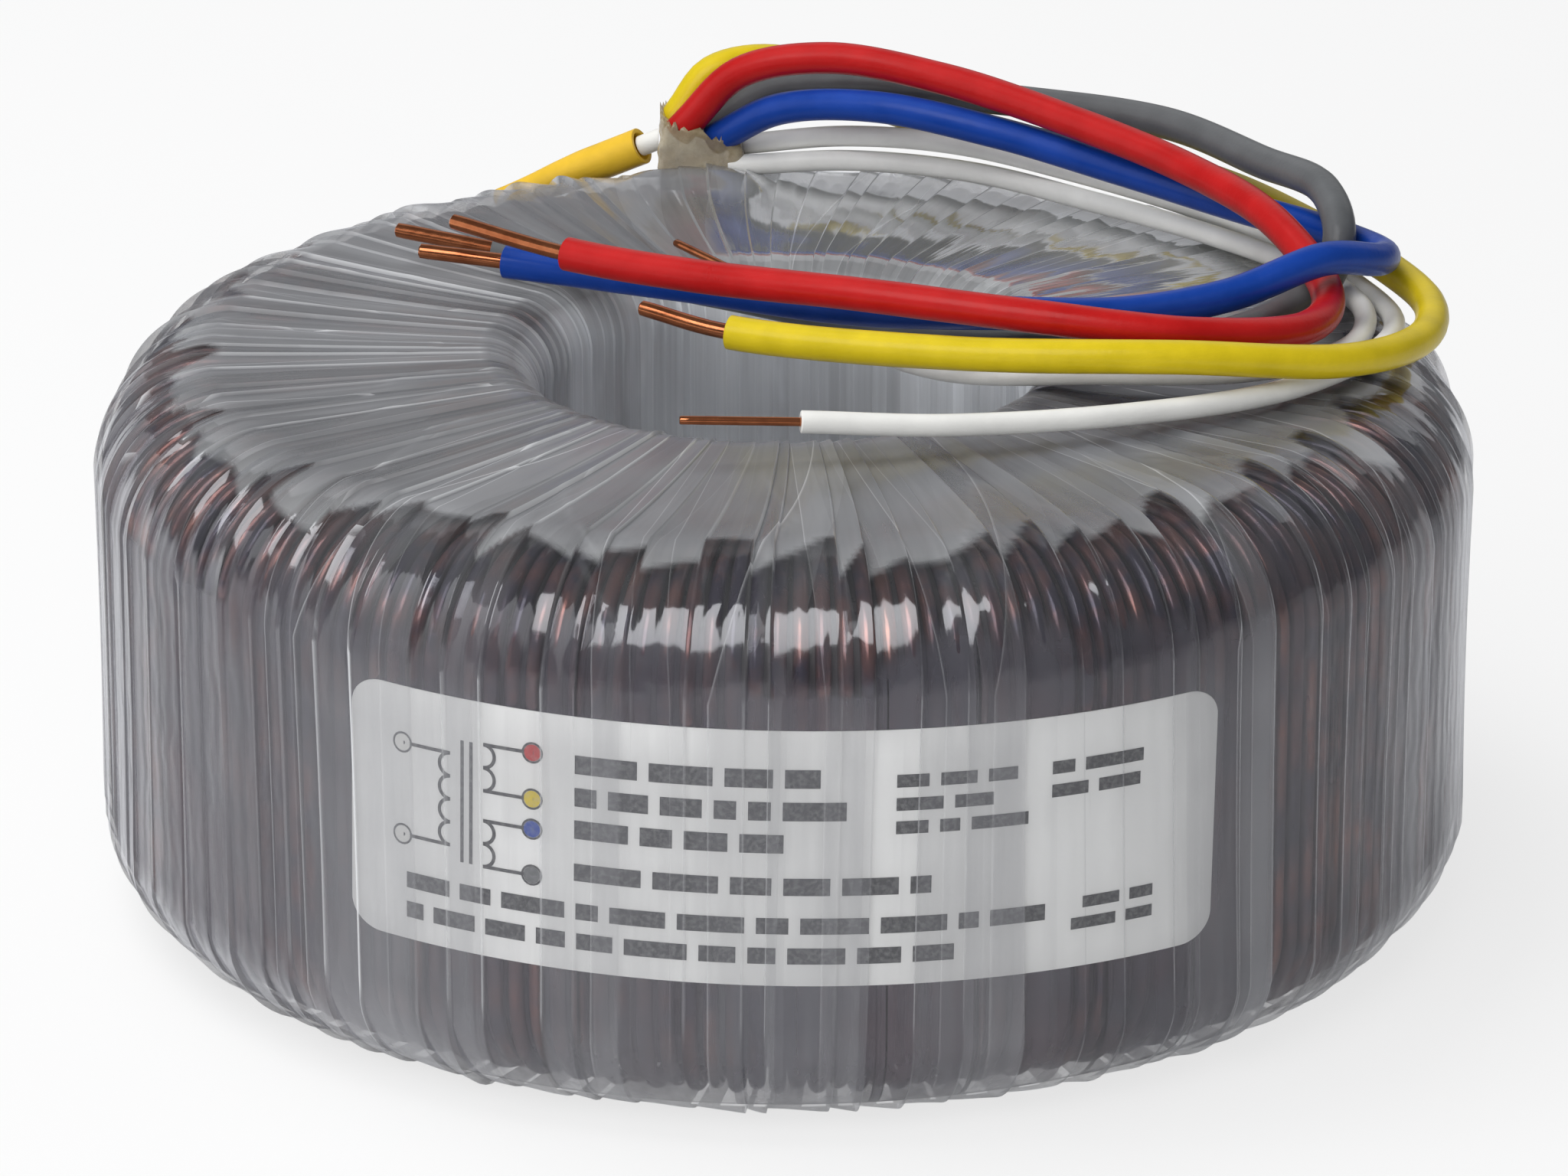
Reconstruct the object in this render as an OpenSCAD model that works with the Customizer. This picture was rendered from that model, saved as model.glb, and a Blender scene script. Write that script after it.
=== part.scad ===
// Toroidal mains transformer, film wrapped, with flying leads folded over its top.
// Millimetres. The ring stands on z = 0 and its axis is the z axis.
// The leads leave the top at the back, on the +y side.

/* [Body] */
// Diameter of the wrapped ring
body_d = 118; // [110:1:142]
// Height of the wrapped ring
body_h = 48.5; // [40:0.5:60]
// Diameter of the centre hole
hole_d = 42; // [35:1:50]
// Rounding of the top outer edge
top_round = 10; // [8:0.5:12]
// Rounding of the bottom outer edge
base_round = 8; // [6:0.5:10]
// Rounding of the lips of the hole
lip_round = 5; // [4:0.5:7]

/* [Film wrap] */
// Thickness of the film on the outside, top and bottom
film_t = 0.4; // [0.3:0.05:0.6]
// Thickness of the film in the hole, where its turns pile up
hole_film_t = 0.8; // [0.6:0.05:1.2]
// Room for the label between the film and the outer wires
label_room = 0.2; // [0.15:0.05:0.4]

/* [Label] */
// Width of the label across the front
label_w = 70; // [40:1:80]
// Height of the label
label_h = 22; // [12:0.5:24]
// Height of the label's middle above the base
label_z = 25; // [22:0.5:28]
// Rounding of the label's corners
label_corner = 2.5; // [1:0.5:4]
// Tilt of the label, in degrees
label_tilt = 1; // [0:0.1:2]

/* [Secondary windings] */
// Diameter of the secondary wire
wire_d = 1.35; // [1.1:0.05:1.65]
// Gap between neighbouring turns where they crowd in the hole
turn_gap = 0.06; // [0.04:0.01:0.3]
// Bend radius of a turn over the outer edges
outer_bend = 9; // [7:0.5:10]
// Bend radius of a turn over the lips of the hole
inner_bend = 6; // [4:0.5:7]

/* [Primary winding] */
// Thickness of the primary winding in the hole
primary_in_t = 4.2; // [2:0.1:5]
// Thickness of the primary winding on the outside
primary_out_t = 2.2; // [1.5:0.1:3.5]
// Thickness of the primary winding over the top and bottom
primary_end_t = 3.2; // [2:0.1:4]
// Thickness of each insulating wrap
insulation_t = 0.3; // [0.2:0.05:0.5]

/* [Core] */
// Wall of the plastic core caps
cap_t = 0.8; // [0.6:0.1:1.5]
// Depth of the skirts of the core caps
cap_skirt = 9; // [5:0.5:11]

/* [Leads] */
// Outer diameter of the coloured sleeves
sleeve_d = 2.9; // [2.4:0.1:3]
// Outer diameter of the white sleeves
thin_sleeve_d = 1.9; // [1.4:0.1:2]
// Diameter of the bare wire in the white sleeves
thin_wire_d = 0.75; // [0.5:0.05:1]
// Diameter of the splice sleeve
joint_d = 3.4; // [2.8:0.1:4]
// Length of the splice sleeve
joint_l = 15.5; // [12:0.5:22]

/* [Hidden] */

// clearances
fit = 0.05;        // between one wrapping layer and the next
slip = 0.1;        // between the core and its caps, and round the exit tape
wire_seat = 0.15;  // between the highest wires and the film
over = 1;          // cuts run past the surface they open by this

// the ring and its film
body_r = body_d / 2;
hole_r = hole_d / 2;
mid_z = body_h / 2;

// secondary wires: the legs of winding a lie behind those of winding b in the hole
corner_drop = 0.54;         // the outer corners are this many wires below the highest
outer_leg_r = body_r - film_t - label_room - wire_d / 2;
inner_leg_b = hole_r + hole_film_t + fit + wire_d / 2;
inner_leg_a = inner_leg_b + wire_d - fit;
turns = floor(2 * PI * inner_leg_b / (wire_d + turn_gap));
turn_step = 360 / turns;
high_leg = mid_z - film_t - wire_seat - wire_d / 2;   // above the middle of the ring
low_leg = high_leg - wire_d;
outer_leg = high_leg - corner_drop * wire_d;
wire_faces = 16;
ball_faces = 32;
bend_faces = 64;           // of a full circle
lap = 0.05;        // straight stretches run this far into the bends
swell = 0.006;     // bends are this much thicker in radius than the straights
wires_lip = inner_bend - wire_d / 2 - slip;     // inside of the bends at the hole
wires_corner = outer_bend - wire_d / 2 - fit;   // inside of the bends on the outside

// layers below the secondaries, each given by its inner and outer radius and half height
wrap2_in = inner_leg_a + wire_d / 2 + slip;
wrap2_out = outer_leg_r - wire_d / 2 - fit;
wrap2_half = low_leg - wire_d / 2 - fit;
primary_in = wrap2_in + insulation_t + fit;
primary_out = wrap2_out - insulation_t - fit;
primary_half = wrap2_half - insulation_t - fit;
wrap1_in = primary_in + primary_in_t + fit;
wrap1_out = primary_out - primary_out_t - fit;
wrap1_half = primary_half - primary_end_t - fit;
cap_in = wrap1_in + insulation_t + fit;
cap_out = wrap1_out - insulation_t - fit;
cap_half = wrap1_half - insulation_t - fit;
core_in = cap_in + cap_t + slip;
core_out = cap_out - cap_t - slip;
core_half = cap_half - cap_t;
cap_round = 1;
under_wrap = insulation_t + fit;

// the lead exit at the back of the top: a short stack of adhesive tape
exit_angle = 98.6;          // its direction from the ring's axis
exit_left = -11.4;
exit_right = -3.7;
exit_front = body_r - 12.6;
exit_depth = 6.7;
exit_sunk = film_t + wire_seat + wire_d / 3;   // it reaches this far below the top
exit_rise = 5.6;            // its height above the top, at the left
exit_fall = 0.3;            // drop of its top face for each millimetre to the right
riser_r = body_r - 9;       // radius at which the secondary wires rise into it

function on_exit(x) = exit_rise - exit_fall * (x - exit_left);
function on_exit_top(x, y) = [x, y, on_exit(x)];
exit_top_normal = [exit_fall, 0, 1];
exit_side_normal = [1, 0, 0];

// tape that anchors the windings, at the right of the hole
anchor_turn = -2;
anchor_l = 27;
anchor_w = 26;
anchor_inset = 1;

// the leads are laid out on a ring of this radius, and their backs move with the exit
layout_r = 59;
layout_back = 45;           // from this far back they move all the way

// splice sleeve: where it starts, which way it points and how steeply it falls
joint_x = -13;
joint_y = body_r - 7;
joint_rise = 1.5 + 0.03 * (body_r - layout_r);
joint_heading = 160;
joint_dip = 26;

// routes of the leads from the exit tape to the ends of their sleeves, and the tips
// of their wires: x, y and the height above the top of the ring
red_route = [
    on_exit_top(-8.8, 48.2), [-4, 47, 10], [4, 45, 12], [14, 40.5, 11.5], [25, 33, 10],
    [35.5, 23, 8.5], [42.5, 11, 7.5], [46.5, 0.5, 4.5], [44, -9, 4.5], [34.5, -15, 6],
    [21.5, -15, 7.5], [6.5, -10.5, 8], [-7.5, -4, 7.5], [-18.5, 2, 7.5]
];
red_tip = [-28.5, 8, 8.5];
yellow_route = [
    on_exit_top(-9.4, 51.4), [-6.5, 52.5, 8.5], [0, 54, 9], [8.5, 50.5, 6],
    [18.5, 45.5, 4.5], [29.5, 38.5, 5], [39.5, 30.5, 4.5], [46.5, 20.5, 4],
    [52.5, 12, 3], [55.5, 3, 2.5], [54, -6, 2.5], [47, -14.5, 3.5], [33, -19.5, 5.5],
    [14.5, -18.5, 5.5], [-4.5, -13, 5.5]
];
yellow_tip = [-12, -9.5, 6.5];
blue_route = [
    on_exit_top(-5.4, 48.2), [-0.5, 45.5, 7], [8, 41.5, 8.5], [19.5, 36.5, 7.5],
    [31, 29.5, 6], [40.5, 21, 5.5], [47.5, 14, 5.5], [51.5, 8.5, 5.5], [51, 3.5, 6.5],
    [46, -1, 8], [38, -4.5, 6], [29, -6.5, 5], [19, -8, 5.5], [6.5, -5.5, 5],
    [-7.5, 2, 4.5], [-24, 9, 4.5]
];
blue_tip = [-31.5, 10.5, 5];
grey_route = [
    on_exit_top(-6, 51.4), [-1, 51, 7], [8, 47, 8.5], [21.5, 43, 8.5], [34, 35, 9],
    [42, 23.5, 9], [47, 13.5, 9.5], [48, 8.5, 7], [47, 7.5, 3.5], [43.5, 4, 2],
    [38, -3, 2], [28.5, -8, 2], [14.5, -4.5, 2], [-4.5, 7.5, 2], [-25, 18.5, 2.5]
];
grey_tip = [-34, 22.5, 3];
white_route_1 = [
    [exit_right, 50, 2.3], [5.5, 47, 4], [15.5, 43, 4.5], [26, 38, 3.5], [36.5, 30.5, 2.5],
    [44.5, 22.5, 1.5], [50, 13, 1], [52.5, 3, 1], [49.5, -7.5, 1.5], [41, -17, 1.5],
    [28, -24, 2], [13.5, -28, 2.5], [1.5, -30, 3.5]
];
white_tip_1 = [-8.5, -31, 4];
white_route_2 = [
    [exit_right, 47.5, 1.1], [6, 46, 2], [17, 42.5, 2], [27.5, 35.5, 1.5], [38, 25.5, 1.5],
    [46.5, 14.5, 1.5], [50, 4, 1.5], [47.5, -6, 1.5], [38.5, -13, 2], [26, -13.5, 2],
    [14, -5.5, -0.5], [4.5, 6, -1], [-2.5, 15.5, 0.5]
];
white_tip_2 = [-9.5, 23.5, 1.5];
tube_sides = 8;

$fn = 96;

// ---- the ring's sections ----

// section with arcs at its corners, standing on both sides of the middle of the ring
module ring_section(r_in, r_out, half, lip, top, base) {
    polygon([[r_in + lip, -half], [r_out - base, -half], [r_out, base - half],
             [r_out, half - top], [r_out - top, half], [r_in + lip, half],
             [r_in, half - lip], [r_in, lip - half]]);
    for (side = [-1, 1])
        translate([r_in + lip, side * (half - lip)]) circle(r = lip);
    translate([r_out - top, half - top]) circle(r = top);
    translate([r_out - base, base - half]) circle(r = base);
}

module core() {
    // one strip of electrical steel, wound up tight and annealed
    color("dimgray") translate([0, 0, mid_z]) rotate_extrude()
        translate([core_in, -core_half]) square([core_out - core_in, 2 * core_half]);
}

module core_cap() {
    // channel that covers one end of the core and folds down both its sides
    rotate_extrude() difference() {
        translate([cap_in, cap_half - cap_skirt])
            square([cap_out - cap_in, cap_skirt]);
        translate([core_in - slip, cap_half - cap_skirt - over])
            square([core_out - core_in + 2 * slip, cap_skirt - cap_t + over]);
    }
}

module core_cap_top() {
    color("ivory") translate([0, 0, mid_z]) core_cap();
}

module core_cap_bottom() {
    color("ivory") translate([0, 0, mid_z]) mirror([0, 0, 1]) core_cap();
}

module core_wrap() {
    color("khaki") translate([0, 0, mid_z]) rotate_extrude() difference() {
        ring_section(wrap1_in, wrap1_out, wrap1_half, cap_round, cap_round, cap_round);
        translate([cap_in - fit, -cap_half - fit])
            square([cap_out - cap_in + 2 * fit, 2 * (cap_half + fit)]);
    }
}

module primary_winding() {
    // fine wire in random layers, as one pack
    color("peru") translate([0, 0, mid_z]) rotate_extrude() difference() {
        ring_section(primary_in, primary_out, primary_half, wires_lip - under_wrap,
                     wires_corner - under_wrap, wires_corner - under_wrap);
        ring_section(wrap1_in - fit, wrap1_out + fit, wrap1_half + fit, cap_round,
                     cap_round, cap_round);
    }
}

module interwinding_wrap() {
    color("lightyellow") translate([0, 0, mid_z]) rotate_extrude() difference() {
        ring_section(wrap2_in, wrap2_out, wrap2_half, wires_lip, wires_corner, wires_corner);
        ring_section(primary_in - fit, primary_out + fit, primary_half + fit,
                     wires_lip - insulation_t, wires_corner - insulation_t,
                     wires_corner - insulation_t);
    }
}

// ---- secondary windings: one wire each, wound round the ring ----

function at(r, a) = [r * cos(a), r * sin(a)];
function ahead(a) = [cos(a), sin(a)];
function tangent_length(r, turn) = r * tan(turn / 2);

// straight wire between two points of a vertical plane
module straight(p, q) {
    d = q - p;
    translate([p[0], 0, p[1]]) rotate([0, 90 - atan2(d[1], d[0]), 0])
        translate([0, 0, -lap])
            cylinder(d = wire_d, h = norm(d) + 2 * lap, $fn = wire_faces);
}

// wire that bends in a vertical plane, about a centre, from one direction by a turn
module bend(centre, r, start, turn) {
    translate([centre[0], 0, centre[1]]) rotate([90, 0, 0]) rotate([0, 0, start])
        rotate_extrude(angle = turn, $fn = bend_faces)
            translate([r, 0]) circle(d = wire_d + 2 * swell, $fn = wire_faces);
}

// end of a winding: the wire turns up through the film into the exit tape
module riser(p) {
    translate([p[0], 0, p[1]]) {
        sphere(d = wire_d + 2 * swell, $fn = ball_faces);
        cylinder(d = wire_d, h = body_h - exit_sunk - mid_z - p[1], $fn = wire_faces);
    }
}

// the wire over one end of the ring, from an outer leg at p to an inner leg at q;
// the first starts at a riser in place of p, and the last ends at one in place of q
module over_end(p, q, inner_leg, starts = false, ends = false) {
    d = q - p;
    run = norm(d);
    slope = atan2(inner_leg - outer_leg, run);
    rise = tangent_length(outer_bend, 90 - slope);
    fall = tangent_length(inner_bend, 90 + slope);
    outer_corner = [0, outer_leg];
    at_riser = outer_corner + (outer_leg_r - riser_r) / cos(slope) * ahead(slope);
    from = starts ? at_riser : outer_corner + rise * ahead(slope);
    to = ends ? at_riser : [run, inner_leg] - fall * ahead(slope);
    translate([p[0], p[1], 0]) rotate([0, 0, atan2(d[1], d[0])]) {
        straight(from, to);
        if (!starts)
            bend([outer_bend, outer_leg - rise], outer_bend, 90 + slope, 90 - slope);
        if (!ends)
            bend([run - inner_bend, inner_leg - fall], inner_bend, 0, 90 + slope);
        if (starts || ends)
            riser(at_riser);
    }
}

// a vertical leg, between the bends above and below it
module leg(p, half) {
    translate([p[0], p[1], -half - lap])
        cylinder(d = wire_d, h = 2 * (half + lap), $fn = wire_faces);
}

// a whole winding, with its inner legs at one radius and their tops at one height
module winding(inner_r, inner_leg) {
    last = turns - 1;
    reach = norm(at(inner_r, turn_step / 2) - at(outer_leg_r, 0));
    slope = atan2(inner_leg - outer_leg, reach);
    outer_half = outer_leg - tangent_length(outer_bend, 90 - slope);
    inner_half = inner_leg - tangent_length(inner_bend, 90 + slope);
    for (k = [0 : last - 1]) {
        here = at(outer_leg_r, k * turn_step);
        inside = at(inner_r, (k + 0.5) * turn_step);
        next = at(outer_leg_r, (k + 1) * turn_step);
        over_end(here, inside, inner_leg, starts = (k == 0));
        leg(inside, inner_half);
        mirror([0, 0, 1]) over_end(next, inside, inner_leg);
        leg(next, outer_half);
    }
    over_end(at(outer_leg_r, last * turn_step), at(inner_r, (last + 0.5) * turn_step),
             inner_leg, ends = true);
}

module secondary_winding_a() {
    color([0.45, 0.2, 0.16]) translate([0, 0, mid_z]) rotate([0, 0, exit_angle])
        winding(inner_leg_a, low_leg);
}

module secondary_winding_b() {
    color([0.42, 0.18, 0.15]) translate([0, 0, mid_z])
        rotate([0, 0, exit_angle + turn_step / 2]) winding(inner_leg_b, high_leg);
}

// ---- label, tapes and film ----

module rating_label() {
    color("whitesmoke") intersection() {
        translate([0, 0, label_z]) rotate([90, 0, 0]) rotate([0, 0, -label_tilt])
            linear_extrude(body_r) rounded_rectangle(label_w, label_h, label_corner);
        difference() {
            cylinder(r = body_r - film_t - fit, h = body_h);
            translate([0, 0, -over])
                cylinder(r = body_r - film_t - label_room + fit, h = body_h + 2 * over);
        }
    }
}

module rounded_rectangle(w, h, corner) {
    square([w - 2 * corner, h], center = true);
    square([w, h - 2 * corner], center = true);
    for (x = [-1, 1], y = [-1, 1])
        translate([x * (w / 2 - corner), y * (h / 2 - corner)]) circle(r = corner);
}

module anchor_tape() {
    // holds the ends of the windings down on the top, under the film
    color("beige") translate([0, 0, body_h - film_t - wire_seat + fit])
        linear_extrude(wire_seat - 2 * fit) intersection() {
            rotate(anchor_turn) translate([hole_r, 0]) square([anchor_l, anchor_w]);
            difference() {
                circle(r = body_r - top_round);
                circle(r = hole_r + lip_round + anchor_inset);
            }
        }
}

module outer_wrap() {
    // clear film wound through the hole and round the ring, one turn lapping the next
    color([0.75, 0.78, 0.82, 0.35]) difference() {
        translate([0, 0, mid_z]) rotate_extrude() difference() {
            ring_section(hole_r, body_r, mid_z, lip_round, top_round, base_round);
            ring_section(hole_r + hole_film_t, body_r - film_t, mid_z - film_t,
                         lip_round - film_t, top_round - film_t, base_round - film_t);
        }
        translate([exit_left - slip, exit_front - slip, mid_z])
            cube([exit_right - exit_left + 2 * slip, exit_depth + 2 * slip, body_h]);
    }
}

module lead_exit_tape() {
    color([0.72, 0.7, 0.5]) translate([0, exit_front + exit_depth, body_h])
        rotate([90, 0, 0]) linear_extrude(exit_depth)
            polygon([[exit_left, -exit_sunk], [exit_right, -exit_sunk],
                     [exit_right, on_exit(exit_right)], [exit_left, on_exit(exit_left)]]);
}

// ---- splice in the primary, laid on the shoulder beside the exit ----

module along_joint() {
    translate([joint_x, joint_y, body_h + joint_rise])
        rotate([0, 90 + joint_dip, joint_heading]) children();
}

module joint_sleeve() {
    color("gold") along_joint() cylinder(d = joint_d, h = joint_l);
}

module joint_lead() {
    color("white") difference() {
        along_joint() mirror([0, 0, 1]) cylinder(d = thin_sleeve_d, h = body_r);
        translate([exit_left, 0, 0]) cube([2 * body_r, 2 * body_r, 2 * body_h]);
    }
}

// ---- leads: a sleeve on each wire, and the bare end of the wire ----

function unit(v) = v / norm(v);
function step_to(route, i) = unit(route[i] - route[i - 1]);
function heading(route, i) =
    i == 0 ? step_to(route, 1) :
    i == len(route) - 1 ? step_to(route, i) :
    unit(step_to(route, i) + step_to(route, i + 1));
function across(side, along) = unit(side - (side * along) * along);
function side_axes(route, i, side) =
    i == len(route) ? [] :
    let (turned = across(side, heading(route, i)))
    concat([turned], side_axes(route, i + 1, turned));
function slide_to(p, along, origin, normal) =
    p + along * (((origin - p) * normal) / (along * normal));

// round bar along a route, whose first end lies flat on a plane through the first point
module tube(route, d, start_normal) {
    sides = side_axes(route, 0, [0, 1, 0]);
    last = len(route) - 1;
    points = [for (i = [0 : last])
        let (along = heading(route, i), u = sides[i], w = cross(along, u))
        for (k = [0 : tube_sides - 1])
            let (a = k * 360 / tube_sides, p = route[i] + d / 2 * (cos(a) * u + sin(a) * w))
            i == 0 ? slide_to(p, along, route[0], start_normal) : p];
    skin = [for (i = [0 : last - 1], k = [0 : tube_sides - 1])
        let (here = i * tube_sides, next = here + tube_sides, beside = (k + 1) % tube_sides)
        [here + k, next + k, next + beside, here + beside]];
    first_end = [for (k = [0 : tube_sides - 1]) k];
    last_end = [for (k = [tube_sides - 1 : -1 : 0]) last * tube_sides + k];
    polyhedron(points, concat([first_end], skin, [last_end]));
}

function laid(p) =
    [p[0], p[1] + (body_r - layout_r) * max(0, min(1, p[1] / layout_back)), p[2] + body_h];

module sleeve(route, d, start_normal) {
    tube([for (p = route) laid(p)], d, start_normal);
}

module wire_end(route, tip, d) {
    end = [for (i = [len(route) - 2, len(route) - 1]) laid(route[i])];
    tube([end[1], laid(tip)], d, step_to(end, 1));
}

module red_sleeve() {
    color("firebrick") sleeve(red_route, sleeve_d, exit_top_normal);
}

module yellow_sleeve() {
    color("gold") sleeve(yellow_route, sleeve_d, exit_top_normal);
}

module blue_sleeve() {
    color("royalblue") sleeve(blue_route, sleeve_d, exit_top_normal);
}

module grey_sleeve() {
    color("dimgray") sleeve(grey_route, sleeve_d, exit_top_normal);
}

module white_sleeve_1() {
    color("white") sleeve(white_route_1, thin_sleeve_d, exit_side_normal);
}

module white_sleeve_2() {
    color("white") sleeve(white_route_2, thin_sleeve_d, exit_side_normal);
}

module red_wire_end() {
    color("peru") wire_end(red_route, red_tip, wire_d);
}

module yellow_wire_end() {
    color("peru") wire_end(yellow_route, yellow_tip, wire_d);
}

module blue_wire_end() {
    color("peru") wire_end(blue_route, blue_tip, wire_d);
}

module grey_wire_end() {
    color("peru") wire_end(grey_route, grey_tip, wire_d);
}

module white_wire_end_1() {
    color("peru") wire_end(white_route_1, white_tip_1, thin_wire_d);
}

module white_wire_end_2() {
    color("peru") wire_end(white_route_2, white_tip_2, thin_wire_d);
}

core();
core_cap_top();
core_cap_bottom();
core_wrap();
primary_winding();
interwinding_wrap();
secondary_winding_a();
secondary_winding_b();
rating_label();
anchor_tape();
outer_wrap();
lead_exit_tape();
joint_sleeve();
joint_lead();
red_sleeve();
yellow_sleeve();
blue_sleeve();
grey_sleeve();
white_sleeve_1();
white_sleeve_2();
red_wire_end();
yellow_wire_end();
blue_wire_end();
grey_wire_end();
white_wire_end_1();
white_wire_end_2();
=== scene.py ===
"""Film-wrapped toroidal transformer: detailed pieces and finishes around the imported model."""

import math

import bpy
import numpy as np
from bpy.props import FloatProperty, FloatVectorProperty, IntProperty, PointerProperty
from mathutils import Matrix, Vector, noise


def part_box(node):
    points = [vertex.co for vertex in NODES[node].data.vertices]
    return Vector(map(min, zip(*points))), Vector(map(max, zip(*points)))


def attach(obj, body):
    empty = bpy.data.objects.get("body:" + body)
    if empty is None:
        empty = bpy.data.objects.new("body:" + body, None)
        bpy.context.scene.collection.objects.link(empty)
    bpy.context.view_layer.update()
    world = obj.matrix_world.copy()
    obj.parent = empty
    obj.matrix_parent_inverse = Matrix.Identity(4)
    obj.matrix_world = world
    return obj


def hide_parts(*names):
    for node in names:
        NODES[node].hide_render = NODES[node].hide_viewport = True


bl_info = {
    "name": "Toroidal transformer",
    "version": (1, 0, 0),
    "blender": (4, 5, 0),
    "location": "View3D > Sidebar > Toroid",
    "description": "Builds the film wrap, leads, label and tapes of a toroidal transformer",
    "category": "Object",
}

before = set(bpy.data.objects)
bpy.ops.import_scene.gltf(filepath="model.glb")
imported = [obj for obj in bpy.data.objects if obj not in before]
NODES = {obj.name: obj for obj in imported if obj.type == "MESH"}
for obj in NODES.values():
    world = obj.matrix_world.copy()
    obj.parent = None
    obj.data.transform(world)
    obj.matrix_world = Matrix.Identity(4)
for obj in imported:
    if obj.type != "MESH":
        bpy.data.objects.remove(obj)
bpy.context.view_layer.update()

MM = 0.001
BODY_LOW, BODY_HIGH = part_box("outer_wrap")
BODY_R = (BODY_HIGH[0] - BODY_LOW[0]) / 2
BODY_H = BODY_HIGH[2]
TAU = 2 * math.pi


# ---------------------------------------------------------------- settings


class ToroidBody(bpy.types.PropertyGroup):
    hole_radius: FloatProperty(
        name="Hole radius", description="Radius of the centre hole",
        default=0.021, unit="LENGTH")
    top_round: FloatProperty(
        name="Top round", description="Rounding of the top outer edge",
        default=0.010, unit="LENGTH")
    base_round: FloatProperty(
        name="Base round", description="Rounding of the bottom outer edge",
        default=0.008, unit="LENGTH")
    lip_round: FloatProperty(
        name="Lip round", description="Rounding of the lips of the hole",
        default=0.005, unit="LENGTH")
    wires: IntProperty(
        name="Wires", description="Wires that lie side by side round the ring",
        default=200)
    strips: IntProperty(
        name="Film turns", description="Turns of film counted round the ring",
        default=92, min=40, max=160)
    lap: FloatProperty(
        name="Lap height", description="Height of a film edge above the turn below it",
        default=0.00030, unit="LENGTH")
    lap_depth: FloatProperty(
        name="Lower laps", description="How far below the film's face its first turns lie",
        default=0.00052, unit="LENGTH")
    clear_colour: FloatVectorProperty(
        name="Clear film", description="Tint where the film lies tight on the wires",
        default=(0.20, 0.198, 0.222), subtype="COLOR")
    milky_colour: FloatVectorProperty(
        name="Milky film", description="Tint where turns of film pile up",
        default=(0.46, 0.47, 0.485), subtype="COLOR")
    # partly painted light: the turns piled in the hole are milkier, and their near-white tint
    # also stands in for the light thrown into the hole
    hole_milk_and_light_colour: FloatVectorProperty(
        name="Film in the hole", description="Tint of the turns crowded in the hole",
        default=(0.90, 0.93, 0.97), subtype="COLOR")
    inner_colour: FloatVectorProperty(
        name="Lower laps", description="Tint of the turns of film below the label",
        default=(0.105, 0.10, 0.122), subtype="COLOR")
    top_colour: FloatVectorProperty(
        name="Film on top", description="Tint of the turns that crowd over the top",
        default=(0.21, 0.214, 0.224), subtype="COLOR")
    polished_colour: FloatVectorProperty(
        name="Smooth film on top", description="Tint on top where the film is drawn smooth",
        default=(0.31, 0.32, 0.315), subtype="COLOR")
    # painted highlight: a near-white tint for the light that the film's edges catch
    edge_highlight_colour: FloatVectorProperty(
        name="Film edges", description="Tint of the edges that catch the light",
        default=(0.86, 0.87, 0.89), subtype="COLOR")


class ToroidLeads(bpy.types.PropertyGroup):
    sleeve: FloatProperty(
        name="Sleeve", description="Outer diameter of the coloured sleeves",
        default=0.0029, unit="LENGTH")
    thin_sleeve: FloatProperty(
        name="Thin sleeve", description="Outer diameter of the white sleeves",
        default=0.0019, unit="LENGTH")
    wire: FloatProperty(
        name="Wire", description="Diameter of the wire in the coloured sleeves",
        default=0.00135, unit="LENGTH")
    thin_wire: FloatProperty(
        name="Thin wire", description="Diameter of the wire in the white sleeves",
        default=0.00075, unit="LENGTH")
    red: FloatVectorProperty(
        name="Red", description="Red sleeve", default=(0.46, 0.006, 0.006), subtype="COLOR")
    yellow: FloatVectorProperty(
        name="Yellow", description="Yellow sleeve", default=(0.66, 0.50, 0.008),
        subtype="COLOR")
    blue: FloatVectorProperty(
        name="Blue", description="Blue sleeve", default=(0.003, 0.045, 0.31), subtype="COLOR")
    grey: FloatVectorProperty(
        name="Grey", description="Grey sleeve", default=(0.115, 0.12, 0.125), subtype="COLOR")
    white: FloatVectorProperty(
        name="White", description="White sleeves", default=(0.82, 0.815, 0.785), subtype="COLOR")
    copper: FloatVectorProperty(
        name="Copper", description="Bare ends of the wires", default=(0.56, 0.195, 0.085),
        subtype="COLOR")


class ToroidLabel(bpy.types.PropertyGroup):
    middle: FloatProperty(
        name="Middle", description="Height of the label's middle", default=0.025,
        unit="LENGTH")
    tilt: FloatProperty(
        name="Tilt", description="Tilt of the label", default=math.radians(1.0),
        unit="ROTATION")
    paper: FloatVectorProperty(
        name="Paper", description="Label stock", default=(0.84, 0.84, 0.83), subtype="COLOR")
    ink: FloatVectorProperty(
        name="Ink", description="Printed bars and lines", default=(0.045, 0.045, 0.05),
        subtype="COLOR")


class ToroidTapes(bpy.types.PropertyGroup):
    exit: FloatVectorProperty(
        name="Exit tape", description="Tape round the leads where they come out",
        default=(0.34, 0.26, 0.14), subtype="COLOR")
    exit_milky: FloatVectorProperty(
        name="Loose exit tape", description="The exit tape where its turns lie loose",
        default=(0.50, 0.43, 0.29), subtype="COLOR")
    anchor: FloatVectorProperty(
        name="Anchor tape", description="Tape over the ends of the windings",
        default=(0.52, 0.52, 0.38), subtype="COLOR")
    anchor_milky: FloatVectorProperty(
        name="Loose anchor tape", description="The anchor tape where it lies loose",
        default=(0.62, 0.61, 0.50), subtype="COLOR")
    splice: FloatVectorProperty(
        name="Splice", description="Sleeve over the splice beside the exit",
        default=(0.80, 0.50, 0.035), subtype="COLOR")


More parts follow.
